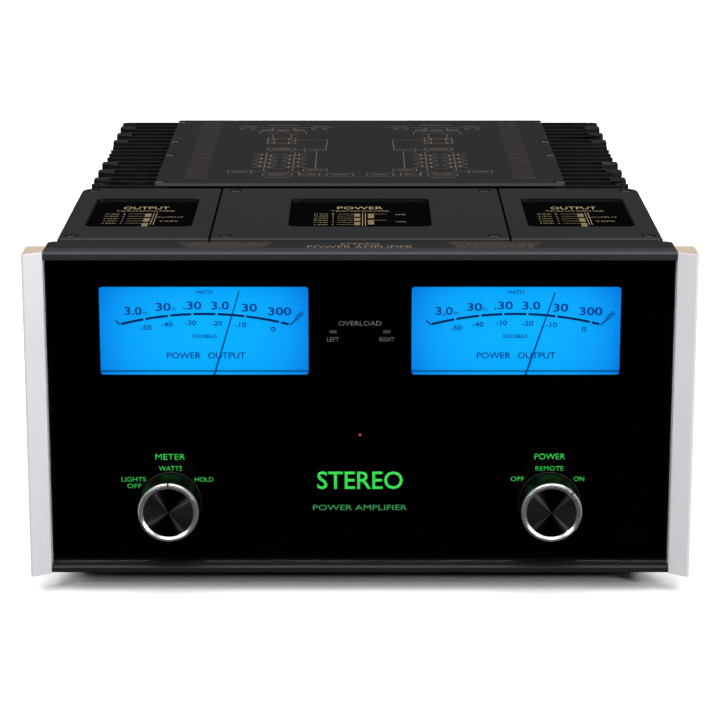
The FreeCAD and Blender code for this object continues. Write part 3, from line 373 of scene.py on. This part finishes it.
FINISHES = {
    "glass": pane("clear_glass", (1.0, 1.0, 1.0), 0.0, 0.004),
    "mask": moulded("mask_black", (0.0004, 0.0004, 0.0005), 0.7, specular=0.0),
    "trim": anodised("trim_anodised", (0.016, 0.018, 0.021), 0.42, ALONG_X, metallic=0.3, specular=0.4),
    # Bottom trim: the same anodised trim as the top one, painted darker as shade for its low place.
    "trim_painted_shade": anodised("trim_painted_shade_anodised", (0.009, 0.01, 0.012), 0.42, ALONG_X, metallic=0.3,
                         specular=0.25),
    # The last colour is the painted warm sheen on the caps' upward faces.
    "cap": blasted("cap_aluminium", (0.58, 0.58, 0.6), 0.42, (0.52, 0.42, 0.32)),
    "housing": painted("housing_black", (0.006, 0.0055, 0.0052), specular=0.2),
    # White meter cases, with the meter lamps' blue light painted into their colour.
    "case": moulded("case_white", (0.3, 0.42, 0.55), 0.6),
    "dial": lit_dial("dial_blue", METER_X, DIAL_LIT_HALF, DIAL_LOW.z, DIAL_HIGH.z),
    "needle": glowing("needle_navy", (0.0, 0.03, 0.17), 0.9),
    "movement": plated("movement_steel", (0.5, 0.5, 0.52), 0.3),
    "lamp": ink("lamp_strip", (0.55, 0.75, 1.0), 1.5),
    "knob": turned("knob_black", (0.045, 0.045, 0.048), 0.33, 1.0),
    "ring": turned("knob_ring", (0.66, 0.66, 0.66), 0.2, 0.3, 0.92),
    "seat": moulded("seat_rubber", (0.006, 0.006, 0.0065), 0.4),
    "shaft": plated("shaft_steel", (0.6, 0.6, 0.6), 0.25),
    "switch": moulded("switch_plastic", (0.04, 0.04, 0.045)),
    "board": board("board_green", (0.015, 0.1, 0.045)),
    "pipe": pilot("light_pipe", RED_LIGHT_HALF),
    "chassis": painted("chassis_black", (0.01, 0.01, 0.0105), 0.42),
    "cover": painted("cover_black", (0.006, 0.0059, 0.0058), specular=0.22),
    "label": moulded("label_black", (0.0012, 0.0012, 0.0014), 0.5, specular=0.0),
    "core": laminated("core_iron", (0.13, 0.12, 0.12)),
    "winding": wound("winding_copper", (0.55, 0.2, 0.07)),
    "sink": anodised("sink_black", (0.004, 0.004, 0.0044), 0.36, ALONG_Z, metallic=0.0, specular=0.2),
    "plate": painted("plate_black", (0.005, 0.0048, 0.0048), 0.36, 2000.0, specular=0.2),
    "mesh": painted("vent_mesh", (0.034, 0.026, 0.023), 0.5, 2000.0),
    "screw": screw_steel("screw_steel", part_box("top_cover")[0].y),
    "package": moulded("package_black", (0.03, 0.03, 0.03)),
    "can": sleeved("can_sleeve", (0.015, 0.025, 0.07)),
    "connector": moulded("connector_black", (0.02, 0.02, 0.021), 0.35),
    "gold": plated("contact_gold", (0.9, 0.62, 0.26), 0.18),
    "rubber": moulded("foot_rubber", (0.02, 0.02, 0.02), 0.75, 700.0, 0.00008, 0.2),
    "fuse": pane("fuse_glass", (0.95, 0.97, 0.95), 0.02),
}

# The bottom trim takes the trim finish with painted shade.
CAD_FINISH = {
    "front_glass": "glass", "glass_mask": "mask", "trim_top": "trim", "trim_bottom": "trim_painted_shade",
    "end_cap_left": "cap", "end_cap_right": "cap", "front_housing": "housing",
    "meter_case_left": "case", "meter_case_right": "case", "meter_dials": "dial",
    "meter_needle_left": "needle", "meter_needle_right": "needle", "meter_movements": "movement",
    "meter_lamps": "lamp", "knob_meter_body": "knob", "knob_power_body": "knob",
    "knob_meter_ring": "ring", "knob_power_ring": "ring", "meter_switch_shaft": "shaft",
    "power_switch_shaft": "shaft", "rotary_switches": "switch", "display_board": "board",
    "indicator_lenses": "pipe", "chassis_pan": "chassis", "rear_panel": "chassis",
    "cover_left": "cover", "cover_centre": "cover", "cover_right": "cover", "cover_labels": "label",
    "cover_screws": "screw", "foot_screws": "screw", "transformer_cores": "core",
    "transformer_windings": "winding", "heat_sink_left": "sink", "heat_sink_right": "sink",
    "top_cover": "plate", "power_transistors": "package", "driver_boards": "board",
    "supply_board": "board", "input_board": "board", "filter_capacitors": "can",
    "xlr_jacks": "connector", "rca_jacks": "gold", "trigger_jacks": "connector",
    "mode_switch_body": "connector", "mode_switch_slider": "connector", "ac_inlet": "connector",
    "fuse_drawer": "connector", "fuse": "fuse", "binding_post_collars": "connector",
    "binding_post_stems": "gold", "feet": "rubber",
}


def dress_cad_nodes():
    for node, cad in NODES.items():
        finish = FINISHES["gold" if node.startswith("post_nut") else CAD_FINISH[node]]
        cad.data.materials.clear()
        cad.data.materials.append(finish.material)


# ---------------------------------------------------------------- softened edges
WELD = 0.002 * MM
SHARP_ANGLE = math.radians(35)
FACET_ANGLE = math.radians(40)


def softened(node, width):
    """A copy of a CAD node with its sharp edges rounded. It stands for the node."""
    source = NODES[node]
    mesh = bmesh.new()
    mesh.from_mesh(source.data)
    bmesh.ops.remove_doubles(mesh, verts=mesh.verts, dist=WELD)
    edges = [e for e in mesh.edges if len(e.link_faces) == 2 and e.calc_face_angle(0) > SHARP_ANGLE]
    bmesh.ops.bevel(mesh, geom=edges, offset=width, segments=2, profile=0.5, affect="EDGES",
                    clamp_overlap=True)
    made = bpy.data.meshes.new(node + "_eased")
    mesh.to_mesh(made)
    mesh.free()
    if "custom_normal" in made.attributes:
        made.attributes.remove(made.attributes["custom_normal"])
    made.materials.clear()
    made.materials.append(source.data.materials[0])
    made.shade_smooth()
    made.set_sharp_from_angle(angle=FACET_ANGLE)
    piece = bpy.data.objects.new(node + "_eased", made)
    bpy.context.scene.collection.objects.link(piece)
    weighted = piece.modifiers.new("flat_faces", "WEIGHTED_NORMAL")
    weighted.keep_sharp = True
    body = source["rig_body"]
    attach(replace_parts(piece, node) or piece, body)
    return piece


def clear_pane():
    """The front glass with its back face just clear of the mask that it is bonded to."""
    for vertex in softened("front_glass", GLASS_EDGE * MM).data.vertices:
        if vertex.co.y > GLASS_HIGH.y - BOND_GAP / 2:
            vertex.co.y = GLASS_HIGH.y - BOND_GAP


def slab(mesh, low, high):
    """A plain block from one corner to the other, added to a mesh."""
    low, high = Vector(low), Vector(high)
    for vertex in bmesh.ops.create_cube(mesh, size=1.0)["verts"]:
        vertex.co = (low + high) / 2 + Vector(a * b for a, b in zip(vertex.co, high - low))


def finished_piece(name, mesh, finish, body="chassis"):
    """The mesh as a piece that rides on its body."""
    made = bpy.data.meshes.new(name)
    mesh.to_mesh(made)
    mesh.free()
    made.materials.append(finish.material)
    piece = bpy.data.objects.new(name, made)
    bpy.context.scene.collection.objects.link(piece)
    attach(piece, body)
    return piece


def vent_grille(name, side):
    """Fine blades across each air slot of the top plate, just under its surface."""
    low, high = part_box("top_cover")
    inner, outer = VENT_BAND
    x0, x1 = sorted((side * inner, side * outer))
    mesh = bmesh.new()
    room = VENT_SLOT / VENT_BLADES
    for slot in range(VENT_COUNT):
        front = low.y + VENT_START + slot * VENT_PITCH
        for blade in range(VENT_BLADES):
            y = front + (blade + BLADE_OFFSET) * room
            slab(mesh, (x0, y, high.z - BLADE_BOTTOM), (x1, y + BLADE_SHARE * room, high.z - BLADE_TOP))
    finished_piece(name, mesh, FINISHES["mesh"])


def knob_seat(name, node):
    """Thin dark collar on the glass around the back of a knob."""
    low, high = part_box(node)
    centre = (low + high) / 2
    front, back = GLASS_LOW.y - SEAT_HEIGHT, GLASS_LOW.y
    mesh = bmesh.new()
    outline = [(SEAT_INNER, back), (SEAT_INNER, front + SEAT_ROUNDING), (SEAT_INNER + SEAT_CHAMFER, front),
               (SEAT_OUTER - SEAT_CHAMFER, front), (SEAT_OUTER, front + SEAT_ROUNDING), (SEAT_OUTER, back)]
    loops = []
    for step in range(SEAT_STEPS):
        turn = math.tau * step / SEAT_STEPS
        loops.append([mesh.verts.new((centre.x + r * math.cos(turn), y, centre.z + r * math.sin(turn)))
                      for r, y in outline])
    for step in range(SEAT_STEPS):
        here, after = loops[step], loops[(step + 1) % SEAT_STEPS]
        for index in range(len(outline)):
            following = (index + 1) % len(outline)
            mesh.faces.new([here[index], here[following], after[following], after[index]])
    bmesh.ops.recalc_face_normals(mesh, faces=mesh.faces)
    finished_piece(name, mesh, FINISHES["seat"]).data.shade_smooth()


# ---------------------------------------------------------------- printing
class Print:
    """Flat ink on one plane: words and lines, gathered into one thin closed mesh.

    Its own coordinates are millimetres, right and up from the origin as a reader sees it.
    """

    THICKNESS = 0.03
    WELD = 0.0005

    def __init__(self, name, origin, right, up):
        self.name = name
        self.mesh = bmesh.new()
        normal = Vector(right).cross(Vector(up))
        turn = Matrix((right, up, normal)).transposed().to_4x4()
        self.to_frame = Matrix.Translation(origin) @ turn @ Matrix.Scale(MM, 4)

    def face(self, points):
        self.mesh.faces.new([self.mesh.verts.new((u, v, 0)) for u, v in points])

    def line(self, points, width, closed=False):
        """A stroke of even width with mitred corners."""
        points = [Vector(p) for p in points]
        count = len(points)
        sides = []
        for index, point in enumerate(points):
            before = points[index - 1] if index or closed else None
            after = points[(index + 1) % count] if index < count - 1 or closed else None
            way_in = (point - before).normalized() if before is not None else (after - point).normalized()
            way_out = (after - point).normalized() if after is not None else way_in
            square = Vector((-way_in.y - way_out.y, way_in.x + way_out.x)).normalized()
            reach = width / 2 / max(0.35, square.dot(Vector((-way_in.y, way_in.x))))
            sides.append((point + square * reach, point - square * reach))
        for index in range(count if closed else count - 1):
            a, b = sides[index], sides[(index + 1) % count]
            self.face([a[1], b[1], b[0], a[0]])

    def frame_box(self, u0, u1, v0, v1, width):
        self.line([(u0, v0), (u1, v0), (u1, v1), (u0, v1)], width, True)

    def arc(self, centre, radius, start, end, width, steps=24):
        """Angles in degrees, clockwise from straight up."""
        turns = [math.radians(start + (end - start) * i / steps) for i in range(steps + 1)]
        u, v = centre
        self.line([(u + radius * math.sin(t), v + radius * math.cos(t)) for t in turns], width)

    def words(self, text, u, v, width, height, turn=0.0, weight=0.0):
        """Text fitted to a box about (u, v), turned anticlockwise in degrees."""
        curve = bpy.data.curves.new("words", "FONT")
        curve.body = text
        curve.offset = weight
        curve.resolution_u = 3
        holder = bpy.data.objects.new("words", curve)
        bpy.context.scene.collection.objects.link(holder)
        bpy.context.view_layer.update()
        flat = bpy.data.meshes.new_from_object(holder)
        bpy.data.objects.remove(holder)
        bpy.data.curves.remove(curve)
        xs = [p.co.x for p in flat.vertices]
        ys = [p.co.y for p in flat.vertices]
        centre = Vector(((min(xs) + max(xs)) / 2, (min(ys) + max(ys)) / 2, 0))
        scale = Matrix.Diagonal((width / (max(xs) - min(xs)), height / (max(ys) - min(ys)), 1, 1))
        spin = Matrix.Rotation(math.radians(turn), 4, "Z")
        flat.transform(Matrix.Translation((u, v, 0)) @ spin @ scale @ Matrix.Translation(-centre))
        self.mesh.from_mesh(flat)
        bpy.data.meshes.remove(flat)

    def done(self, finish, body="chassis"):
        bmesh.ops.remove_doubles(self.mesh, verts=self.mesh.verts, dist=self.WELD)
        for face in self.mesh.faces:
            if face.normal.z < 0:
                face.normal_flip()
        grown = bmesh.ops.extrude_face_region(self.mesh, geom=list(self.mesh.faces), use_keep_orig=True)
        raised = [v for v in grown["geom"] if isinstance(v, bmesh.types.BMVert)]
        bmesh.ops.translate(self.mesh, verts=raised, vec=(0, 0, self.THICKNESS))
        bmesh.ops.recalc_face_normals(self.mesh, faces=self.mesh.faces)
        self.mesh.transform(self.to_frame)
        return finished_piece(self.name, self.mesh, finish, body)


RIGHT, LEFT, UP, BACK = (1, 0, 0), (-1, 0, 0), (0, 0, 1), (0, 1, 0)

INKS = {
    "numbers": ink("ink_numbers", (0.0, 0.018, 0.17), 1.0),
    "scale": ink("ink_scale", (0.0, 0.002, 0.06), 1.0),
    "green": ink("ink_green", (0.03, 0.42, 0.06), 1.0),
    "green_bright": ink("ink_green_bright", (0.03, 0.52, 0.06), 1.0),
    "green_dim": ink("ink_green_dim", (0.04, 0.24, 0.08), 0.9),
    "grey": ink("ink_grey", (0.16, 0.16, 0.145), 0.5),
    "gold": ink("ink_gold", (0.27, 0.21, 0.105)),
    "bronze": ink("ink_bronze", (0.12, 0.088, 0.064)),
    "white": ink("ink_white", (0.5, 0.5, 0.5)),
}


# Meter scale: powers are (text, place across, height of the middle, width), from the meter's middle.
SCALE_RADIUS = 226.0
SCALE_TOP = 190.9
POWERS = [("3.0", -47.6, 192.9, 11.4), ("30", -27.4, 195.7, 10.0), (".30", -8.1, 196.7, 12.3),
          ("3.0", 10.5, 196.6, 11.9), ("30", 30.1, 195.2, 10.0), ("300", 50.3, 192.7, 15.4)]
MILLIWATT_MARKS = [(-39.7, 191.3), (-20.6, 194.0)]
DECIBELS = [("-50", -39.4, 181.4), ("-40", -25.1, 183.7), ("-30", -9.4, 184.7), ("-20", 8.1, 184.4),
            ("-10", 24.0, 183.4), ("0", 45.8, 180.5)]
DIVISIONS = [-56.6, -40.2, -23.6, -8.2, 8.0, 27.3, 50.4, 56.8]
POWER_HEIGHT = 5.6
DECIBEL_HEIGHT = 3.5
DIVISION_GAP = 0.7
ARC_STEPS = 8
ARC_WIDTH = 1.55
TICK_WIDTH = 0.8
FOOT_LINE_HALF = 72.5
FOOT_LINE_HEIGHT = 151.4

# Legends by the knobs: text, place across, height of the middle, width and height.
SWITCH_WORDS = [("WATTS", -128, 85.2, 15.5, 3.3), ("LIGHTS", -153, 77.6, 16.4, 3.2),
                ("OFF", -152.6, 72.9, 9.5, 3.1), ("HOLD", -105.4, 77.5, 12.6, 3.2),
                ("REMOTE", 128, 85.3, 18.9, 3.1), ("OFF", 106.4, 77.9, 9.2, 3.2),
                ("ON", 148.0, 77.9, 7.0, 3.2)]


def scale_height(u):
    """Height of the scale's arc at a distance from the meter's middle."""
    return SCALE_TOP - SCALE_RADIUS + math.sqrt(SCALE_RADIUS ** 2 - u ** 2)


def dial_print(side, name):
    origin = Vector((side * METER_X, DIAL_LOW.y - INK_AHEAD, 0))
    words = Print("dial_numbers_" + name, origin, RIGHT, UP)
    for text, u, v, width in POWERS:
        words.words(text, u, v, width, POWER_HEIGHT, weight=0.016)
    for u, v in MILLIWATT_MARKS:
        words.words("m", u, v, 2.6, 2.2)
    words.words("600", 63.0, 189.5, 7.4, 3.0, 46.0, 0.02)
    for text, u, v in DECIBELS:
        width = 2.5 * len(text) + 0.7 * (len(text) == 1)
        words.words(text, u, v, width, DECIBEL_HEIGHT, weight=0.014)
    words.words("WATTS", 0, 205.8, 11.3, 2.4, weight=0.018)
    words.words("DECIBELS", 0, 175.5, 15.9, 2.5, weight=0.018)
    words.words("POWER", -14.2, 162.2, 22.9, 4.4, weight=0.012)
    words.words("OUTPUT", 14.5, 162.2, 25.2, 4.4, weight=0.012)
    words.done(INKS["numbers"])
    scale = Print("dial_scale_" + name, origin, RIGHT, UP)
    for start, end in zip(DIVISIONS, DIVISIONS[1:]):
        first, last = start + DIVISION_GAP, end - DIVISION_GAP
        us = [first + (last - first) * i / ARC_STEPS for i in range(ARC_STEPS + 1)]
        scale.line([(u, scale_height(u)) for u in us], ARC_WIDTH)
    low, high = scale_height(DIVISIONS[0]), scale_height(DIVISIONS[-1])
    scale.line([(-59.8, low + 2.9), (-56.5, low - 0.3)], TICK_WIDTH)
    scale.line([(57.1, high - 0.3), (60.6, high + 3.0)], TICK_WIDTH)
    scale.line([(-FOOT_LINE_HALF, FOOT_LINE_HEIGHT), (FOOT_LINE_HALF, FOOT_LINE_HEIGHT)], TICK_WIDTH)
    scale.done(INKS["scale"])


def front_legends():
    """Words that light up behind the glass, printed on its mask."""
    origin = Vector((0, GLASS_HIGH.y - INK_AHEAD, 0))
    green = Print("legends_switches", origin, RIGHT, UP)
    for text, u, v, width, height in SWITCH_WORDS:
        green.words(text, u, v, width, height, weight=-0.004)
    green.done(INKS["green"])
    bright = Print("legends_titles", origin, RIGHT, UP)
    bright.words("METER", -128, 93.4, 19.9, 4.0, weight=-0.006)
    bright.words("POWER", 128, 93.7, 20.6, 4.0, weight=-0.006)
    bright.words("STEREO", 0, 76.9, 57.9, 12.6, weight=0.01)
    bright.done(INKS["green_bright"])
    dim = Print("legends_name", origin, RIGHT, UP)
    dim.words("POWER AMPLIFIER", 0, 57.6, 63.6, 3.8)
    dim.done(INKS["green_dim"])
    grey = Print("legends_overload", origin, RIGHT, UP)
    grey.words("OVERLOAD", 0, 186.2, 28.6, 3.2)
    grey.words("LEFT", -17.9, 175.2, 8.0, 3.0)
    grey.words("RIGHT", 17.9, 175.2, 10.0, 3.0)
    grey.done(INKS["grey"])


# ---------------------------------------------------------------- printing on the covers
SIDE_LABEL_X = 152.65
COIL_PITCH = 1.3
COIL_WIRE = 0.62


def label_print(name, centre_x, rows, both_sides):
    """A transformer's rating label: title, a winding diagram beside its core, and captions."""
    low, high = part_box("cover_labels")
    sheet = Print(name, Vector((centre_x, (low.y + high.y) / 2, high.z + PRINT_GAP)), RIGHT, BACK)
    title, column, row_step = ("POWER", -4.0, 7.3) if both_sides else ("OUTPUT", 1.0, 8.1)

    def coil(u0, u1, v0, v1):
        """A winding: close fine turns side by side."""
        for turn in range(round((v1 - v0) / COIL_PITCH)):
            v = v0 + turn * COIL_PITCH
            sheet.line([(u0, v), (u1, v)], COIL_WIRE)

    sheet.words(title, 0, 28.2, 32.5, 9.0)
    sheet.words("TRANSFORMER", 0, 17.3, 42.0, 3.0, weight=-0.006)
    top_row = 7.0
    core = column + 5.8
    for row in range(rows):
        v = top_row - row * row_step
        sheet.words("%d OHM" % 2 ** (rows - row), column - 23.5, v, 9.5, 2.4, weight=-0.004)
        sheet.words(str(row + 1), column - 15.0, v, 1.2, 2.4)
        sheet.line([(column - 12.0, v), (column, v)], 0.35)
        if row % 2 == 0:
            coil(column, column + 4.2, v - row_step * 1.2, v + 2.0)
        if both_sides and row % 3 == 0:
            coil(core + 3.8, core + 8.0, v - row_step * 1.9, v + 2.0)
            sheet.line([(core + 8.0, v), (core + 17.0, v)], 0.35)
    for u in (core, core + 2.0):
        sheet.line([(u, top_row + 4.0), (u, top_row - (rows - 1) * row_step - 4.5)], 0.4)
    if both_sides:
        for v in (5.0, -20.0):
            sheet.words("LINE", 28.5, v, 7.0, 2.2)
    else:
        sheet.words("OUTPUT", 18.4, -4.0, 20.5, 2.6, weight=-0.004)
        sheet.words("TAPS", 18.5, -18.0, 13.5, 2.6, weight=-0.004)
    sheet.done(INKS["gold"])


# Captions in rows on the left and on the right of the band behind the glass.
CAPTIONS = [("LEFT CHANNEL OUTPUTS FOR 2, 4 AND 8 OHM", "RIGHT CHANNEL OUTPUTS FOR 2, 4 AND 8 OHM"),
            ("STEREO INPUTS BALANCED OR UNBALANCED", "LEVEL METERS IN WATTS AND DECIBELS"),
            ("TWO CHANNELS, ONE COMMON SUPPLY", "KEEP THE SLOTS CLEAR FOR AIR")]
CAPTION_X = 90.0
CAPTION_START = -5.0
CAPTION_STEP = 6.2
CAPTION_HEIGHT = 3.4


def housing_print():
    """Words on the band behind the front glass, measured from the band's rear edge."""
    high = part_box("front_housing")[1]
    sheet = Print("housing_words", Vector((0, high.y, high.z + PRINT_GAP)), RIGHT, BACK)
    sheet.words("STEREO", 0, -8.4, 26.0, 5.6)
    sheet.words("POWER AMPLIFIER", 0, -17.6, 70.4, 8.6)
    for row, pair in enumerate(CAPTIONS):
        for side, text in zip((-1, 1), pair):
            v = CAPTION_START - row * CAPTION_STEP
            sheet.words(text, side * CAPTION_X, v, 62.0 - row * 5.0, CAPTION_HEIGHT)
    sheet.done(INKS["bronze"])


DIAGRAM_LINE = 0.5


def circuit_half(sheet, side):
    """One channel of a plain block diagram: supply, input, driver ladders and output."""
    thin = DIAGRAM_LINE

    def at(*points):
        return [(side * u, v) for u, v in points]

    def cell(u, v, width, height, mark=True):
        sheet.line(at((u - width / 2, v - height / 2), (u + width / 2, v - height / 2),
                      (u + width / 2, v + height / 2), (u - width / 2, v + height / 2)), thin, True)
        if mark:
            sheet.line(at((u - width * 0.3, v), (u + width * 0.3, v)), 1.2)

    def stage(u, v, way):
        """A transistor: its bar and three leads."""
        sheet.line(at((u, v - 4.0), (u, v + 4.0)), 1.1)
        sheet.line(at((u, v + 1.5), (u + way * 6.0, v + 7.0)), thin)
        sheet.line(at((u, v - 1.5), (u + way * 6.0, v - 7.0)), thin)
        sheet.line(at((u, v), (u - way * 6.0, v)), thin)

    cell(91, 15, 18, 10)
    sheet.line(at((82, 15), (73, 15)), thin)
    for u, way in ((73, 1), (51, -1)):
        sheet.line(at((u, 18), (u, 98)), thin)
        for v in (34, 50, 66, 82):
            stage(u - way * 3.5, v, -way)
            stage(u + way * 3.5, v + 4.0, way)
    sheet.line(at((73, 98), (68, 104), (56, 104), (51, 98)), thin)
    sheet.line(at((73, 18), (68, 12), (56, 12), (51, 18)), thin)
    cell(62, 3, 22, 10)
    for u in (56, 62, 68):
        sheet.arc((side * u, -8), 2.6, 90, 270, thin, 8)
    sheet.line(at((51, 15), (46, 15), (46, 3), (38, 3)), thin)
    cell(38, 3, 15, 11)
    cell(34, 22, 18, 9)
    cell(15, 3, 20, 13)
    sheet.line(at((30.5, 3), (25, 3)), thin)
    sheet.line(at((34, 26.5), (34, 102)), thin)
    sheet.line(at((44, 101), (44, 113), (27, 107), (44, 101)), thin)
    sheet.line(at((44, 107), (73, 107)), thin)
    cell(62, 112, 22, 8)
    sheet.line(at((27, 107), (26, 152), (54, 152)), thin)
    cell(63, 148, 22, 26, False)
    for v in (140, 156):
        for u in (57, 69):
            stage(u, v, 1 if u > 63 else -1)
    for u in (55.5, 70.5):
        sheet.line(at((u, 161), (u, 178)), thin)
        sheet.line(at((u - 5, 184), (u, 178), (u + 5, 184)), thin)
    sheet.line(at((82, 178), (82, 192), (44, 192), (44, 178)), thin)
    for u in (50, 63, 76):
        cell(u, 198, 8, 7)
    sheet.line(at((101, 211), (22, 211)), thin)
    for u in (97, 88, 72, 54, 38, 29):
        sheet.line(at((u, 211), (u, 203)), thin)
        sheet.line(at((u - 2.5, 203), (u + 2.5, 203)), 1.2)
    sheet.line(at((76, 223), (50, 223)), 1.2)
    for u in (91, 33):
        sheet.line(at((u - 6, 217), (u + 6, 217)), 1.0)


def plate_print():
    """The block diagram, with two thirds of its ink sunk into the top plate."""
    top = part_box("top_cover")[1].z
    sheet = Print("plate_circuit", Vector((0, 0, top - INK_SUNK)), RIGHT, BACK)
    for side in (-1, 1):
        circuit_half(sheet, side)
    sheet.done(INKS["bronze"])


OUTPUTS_X, OUTPUTS_HALF = 69.0, 52.0
INPUTS_X, INPUTS_HALF = 80.0, 37.0


def rear_print():
    """Words and frames on the rear panel, in the places of its connectors."""
    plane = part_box("rear_panel")[1].y
    sheet = Print("rear_words", Vector((0, plane + PRINT_GAP, 0)), LEFT, UP)
    for name, side in (("LEFT", -1), ("RIGHT", 1)):
        outputs, inputs = -side * OUTPUTS_X, -side * INPUTS_X
        for tap, text in (("common", "COM"), ("2_ohm", "2"), ("4_ohm", "4"), ("8_ohm", "8")):
            low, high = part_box("post_nut_%s_%s" % (name.lower(), tap))
            sheet.words(text, -(low.x + high.x) / 2 / MM, 111.0, 3.2 + 3.2 * (len(text) > 1), 3.6)
        sheet.words(name + " OUTPUT", outputs, 122.0, 34.0, 4.2)
        sheet.words("OHM", -side * 95.0, 77.5, 8.0, 3.2)
        sheet.words(name, inputs, 212.0, 15.0, 4.2)
        sheet.words("BALANCED", -side * 100.0, 164.5, 22.0, 3.2)
        sheet.words("UNBALANCED", -side * 60.0, 172.0, 24.0, 3.2)
        sheet.frame_box(inputs - INPUTS_HALF, inputs + INPUTS_HALF, 159.0, 207.0, 0.5)
        sheet.frame_box(outputs - OUTPUTS_HALF, outputs + OUTPUTS_HALF, 73.0, 117.0, 0.5)
    sheet.words("INPUT", 0, 200.0, 13.0, 3.6)
    sheet.words("CONTROL", 0, 162.0, 22.0, 3.6)
    for u, text in ((-24, "OUT"), (-8, "OUT"), (8, "IN"), (24, "IN")):
        sheet.words(text, u, 139.5, 2.9 * len(text), 3.0)
    sheet.words("AC LINE", 0, 69.5, 17.0, 3.6)
    sheet.words("FUSE", -33.0, 48.0, 10.0, 3.2)
    sheet.done(INKS["white"])


# ---------------------------------------------------------------- stage
CAMERA = Vector((0, -1.96142, 0.61263))
CAMERA_PITCH = 14.74
CAMERA_LENS = 132.85
CAMERA_FILM = 36
FLOOR_HALF = 30.0
SIDES = ((-1, "left"), (1, "right"))

# The small lights that draw the fans on the turned knobs, and the knobs that they point at.
ACCENT_SIZE = (0.16, 0.16)
KNOB_AIM = Vector((0.128, -0.26, 0.0625))


def floor():
    """Pale ground, hidden from reflections so that the glass stays black."""
    mesh = bpy.data.meshes.new("floor")
    corners = [(-FLOOR_HALF, -FLOOR_HALF, 0), (FLOOR_HALF, -FLOOR_HALF, 0), (FLOOR_HALF, FLOOR_HALF, 0),
               (-FLOOR_HALF, FLOOR_HALF, 0)]
    mesh.from_pydata(corners, [], [(0, 1, 2, 3)])
    pale = Finish("floor_pale", (0.92, 0.92, 0.92), 0.8, Specular_IOR_Level=0.1)
    pale.tone(pale.noise(3.0), 0.99, 1.01)
    mesh.materials.append(pale.material)
    piece = bpy.data.objects.new("floor", mesh)
    piece.visible_glossy = False
    piece.visible_transmission = False
    bpy.context.scene.collection.objects.link(piece)


def sky():
    """Studio round the floor: dim at the horizon, bright overhead."""
    world = bpy.data.worlds.new("studio")
    bpy.context.scene.world = world
    world.use_nodes = True
    nodes, links = world.node_tree.nodes, world.node_tree.links
    place = nodes.new("ShaderNodeTexCoord")
    split = nodes.new("ShaderNodeSeparateXYZ")
    ramp = nodes.new("ShaderNodeValToRGB")
    links.new(place.outputs["Generated"], split.inputs[0])
    links.new(split.outputs["Z"], ramp.inputs[0])
    links.new(ramp.outputs[0], nodes["Background"].inputs["Color"])
    ramp.color_ramp.elements[0].position = 0.0
    ramp.color_ramp.elements[0].color = (0.004, 0.004, 0.0045, 1)
    ramp.color_ramp.elements[1].position = 0.85
    ramp.color_ramp.elements[1].color = (0.95, 0.95, 0.97, 1)
    low_sky = ramp.color_ramp.elements.new(0.3)
    low_sky.color = (0.045, 0.045, 0.046, 1)


def area(name, place, aim, size, power):
    """A rectangular lamp that faces its aim."""
    light = bpy.data.lights.new(name, "AREA")
    light.shape = "RECTANGLE"
    light.size, light.size_y = size
    light.energy = power
    holder = bpy.data.objects.new(name, light)
    holder.location = place
    holder.rotation_euler = (Vector(aim) - Vector(place)).to_track_quat("-Z", "Y").to_euler()
    bpy.context.scene.collection.objects.link(holder)


def lights():
    """A broad sun overhead, strips at the front and the rear, and an accent for each knob."""
    sun = bpy.data.lights.new("overhead", "SUN")
    sun.energy = 2.6
    sun.angle = math.radians(70)
    holder = bpy.data.objects.new("overhead", sun)
    holder.rotation_euler = (math.radians(12), 0, 0)
    bpy.context.scene.collection.objects.link(holder)
    for side, word in SIDES:
        area("front_strip_" + word, (side * 1.3, -1.6, 1.5), (0, -0.2, 0.1), (0.35, 1.2), 8)
        area("rear_strip_" + word, (side * 1.7, 1.9, 1.5), (0, 0.2, 0.1), (0.5, 1.2), 12)
    area("accent_left", (-1.28, -1.77, 1.03), KNOB_AIM * Vector((-1, 1, 1)), ACCENT_SIZE, 11)
    area("accent_right", (1.6, -1.6, 0.64), KNOB_AIM, ACCENT_SIZE, 20)


def camera():
    """A long lens in front, looking down at the top and the face together."""
    data = bpy.data.cameras.new("camera")
    data.lens = CAMERA_LENS
    data.sensor_width = CAMERA_FILM
    holder = bpy.data.objects.new("camera", data)
    holder.location = CAMERA
    holder.rotation_euler = (math.radians(90 - CAMERA_PITCH), 0, 0)
    bpy.context.scene.collection.objects.link(holder)
    bpy.context.scene.camera = holder


# ---------------------------------------------------------------- build
dress_cad_nodes()
for eased_node, edge_width in EASED_EDGES.items():
    softened(eased_node, edge_width * MM)
clear_pane()
for hand, hand_name in SIDES:
    dial_print(hand, hand_name)
    vent_grille("vent_grille_" + hand_name, hand)
knob_seat("knob_seat_left", "knob_meter_ring")
knob_seat("knob_seat_right", "knob_power_ring")
front_legends()
label_print("label_print_left", -SIDE_LABEL_X * MM, 5, False)
label_print("label_print_centre", 0, 6, True)
label_print("label_print_right", SIDE_LABEL_X * MM, 5, False)
housing_print()
plate_print()
rear_print()
floor()
sky()
lights()
camera()
bpy.context.scene.view_settings.view_transform = "Standard"
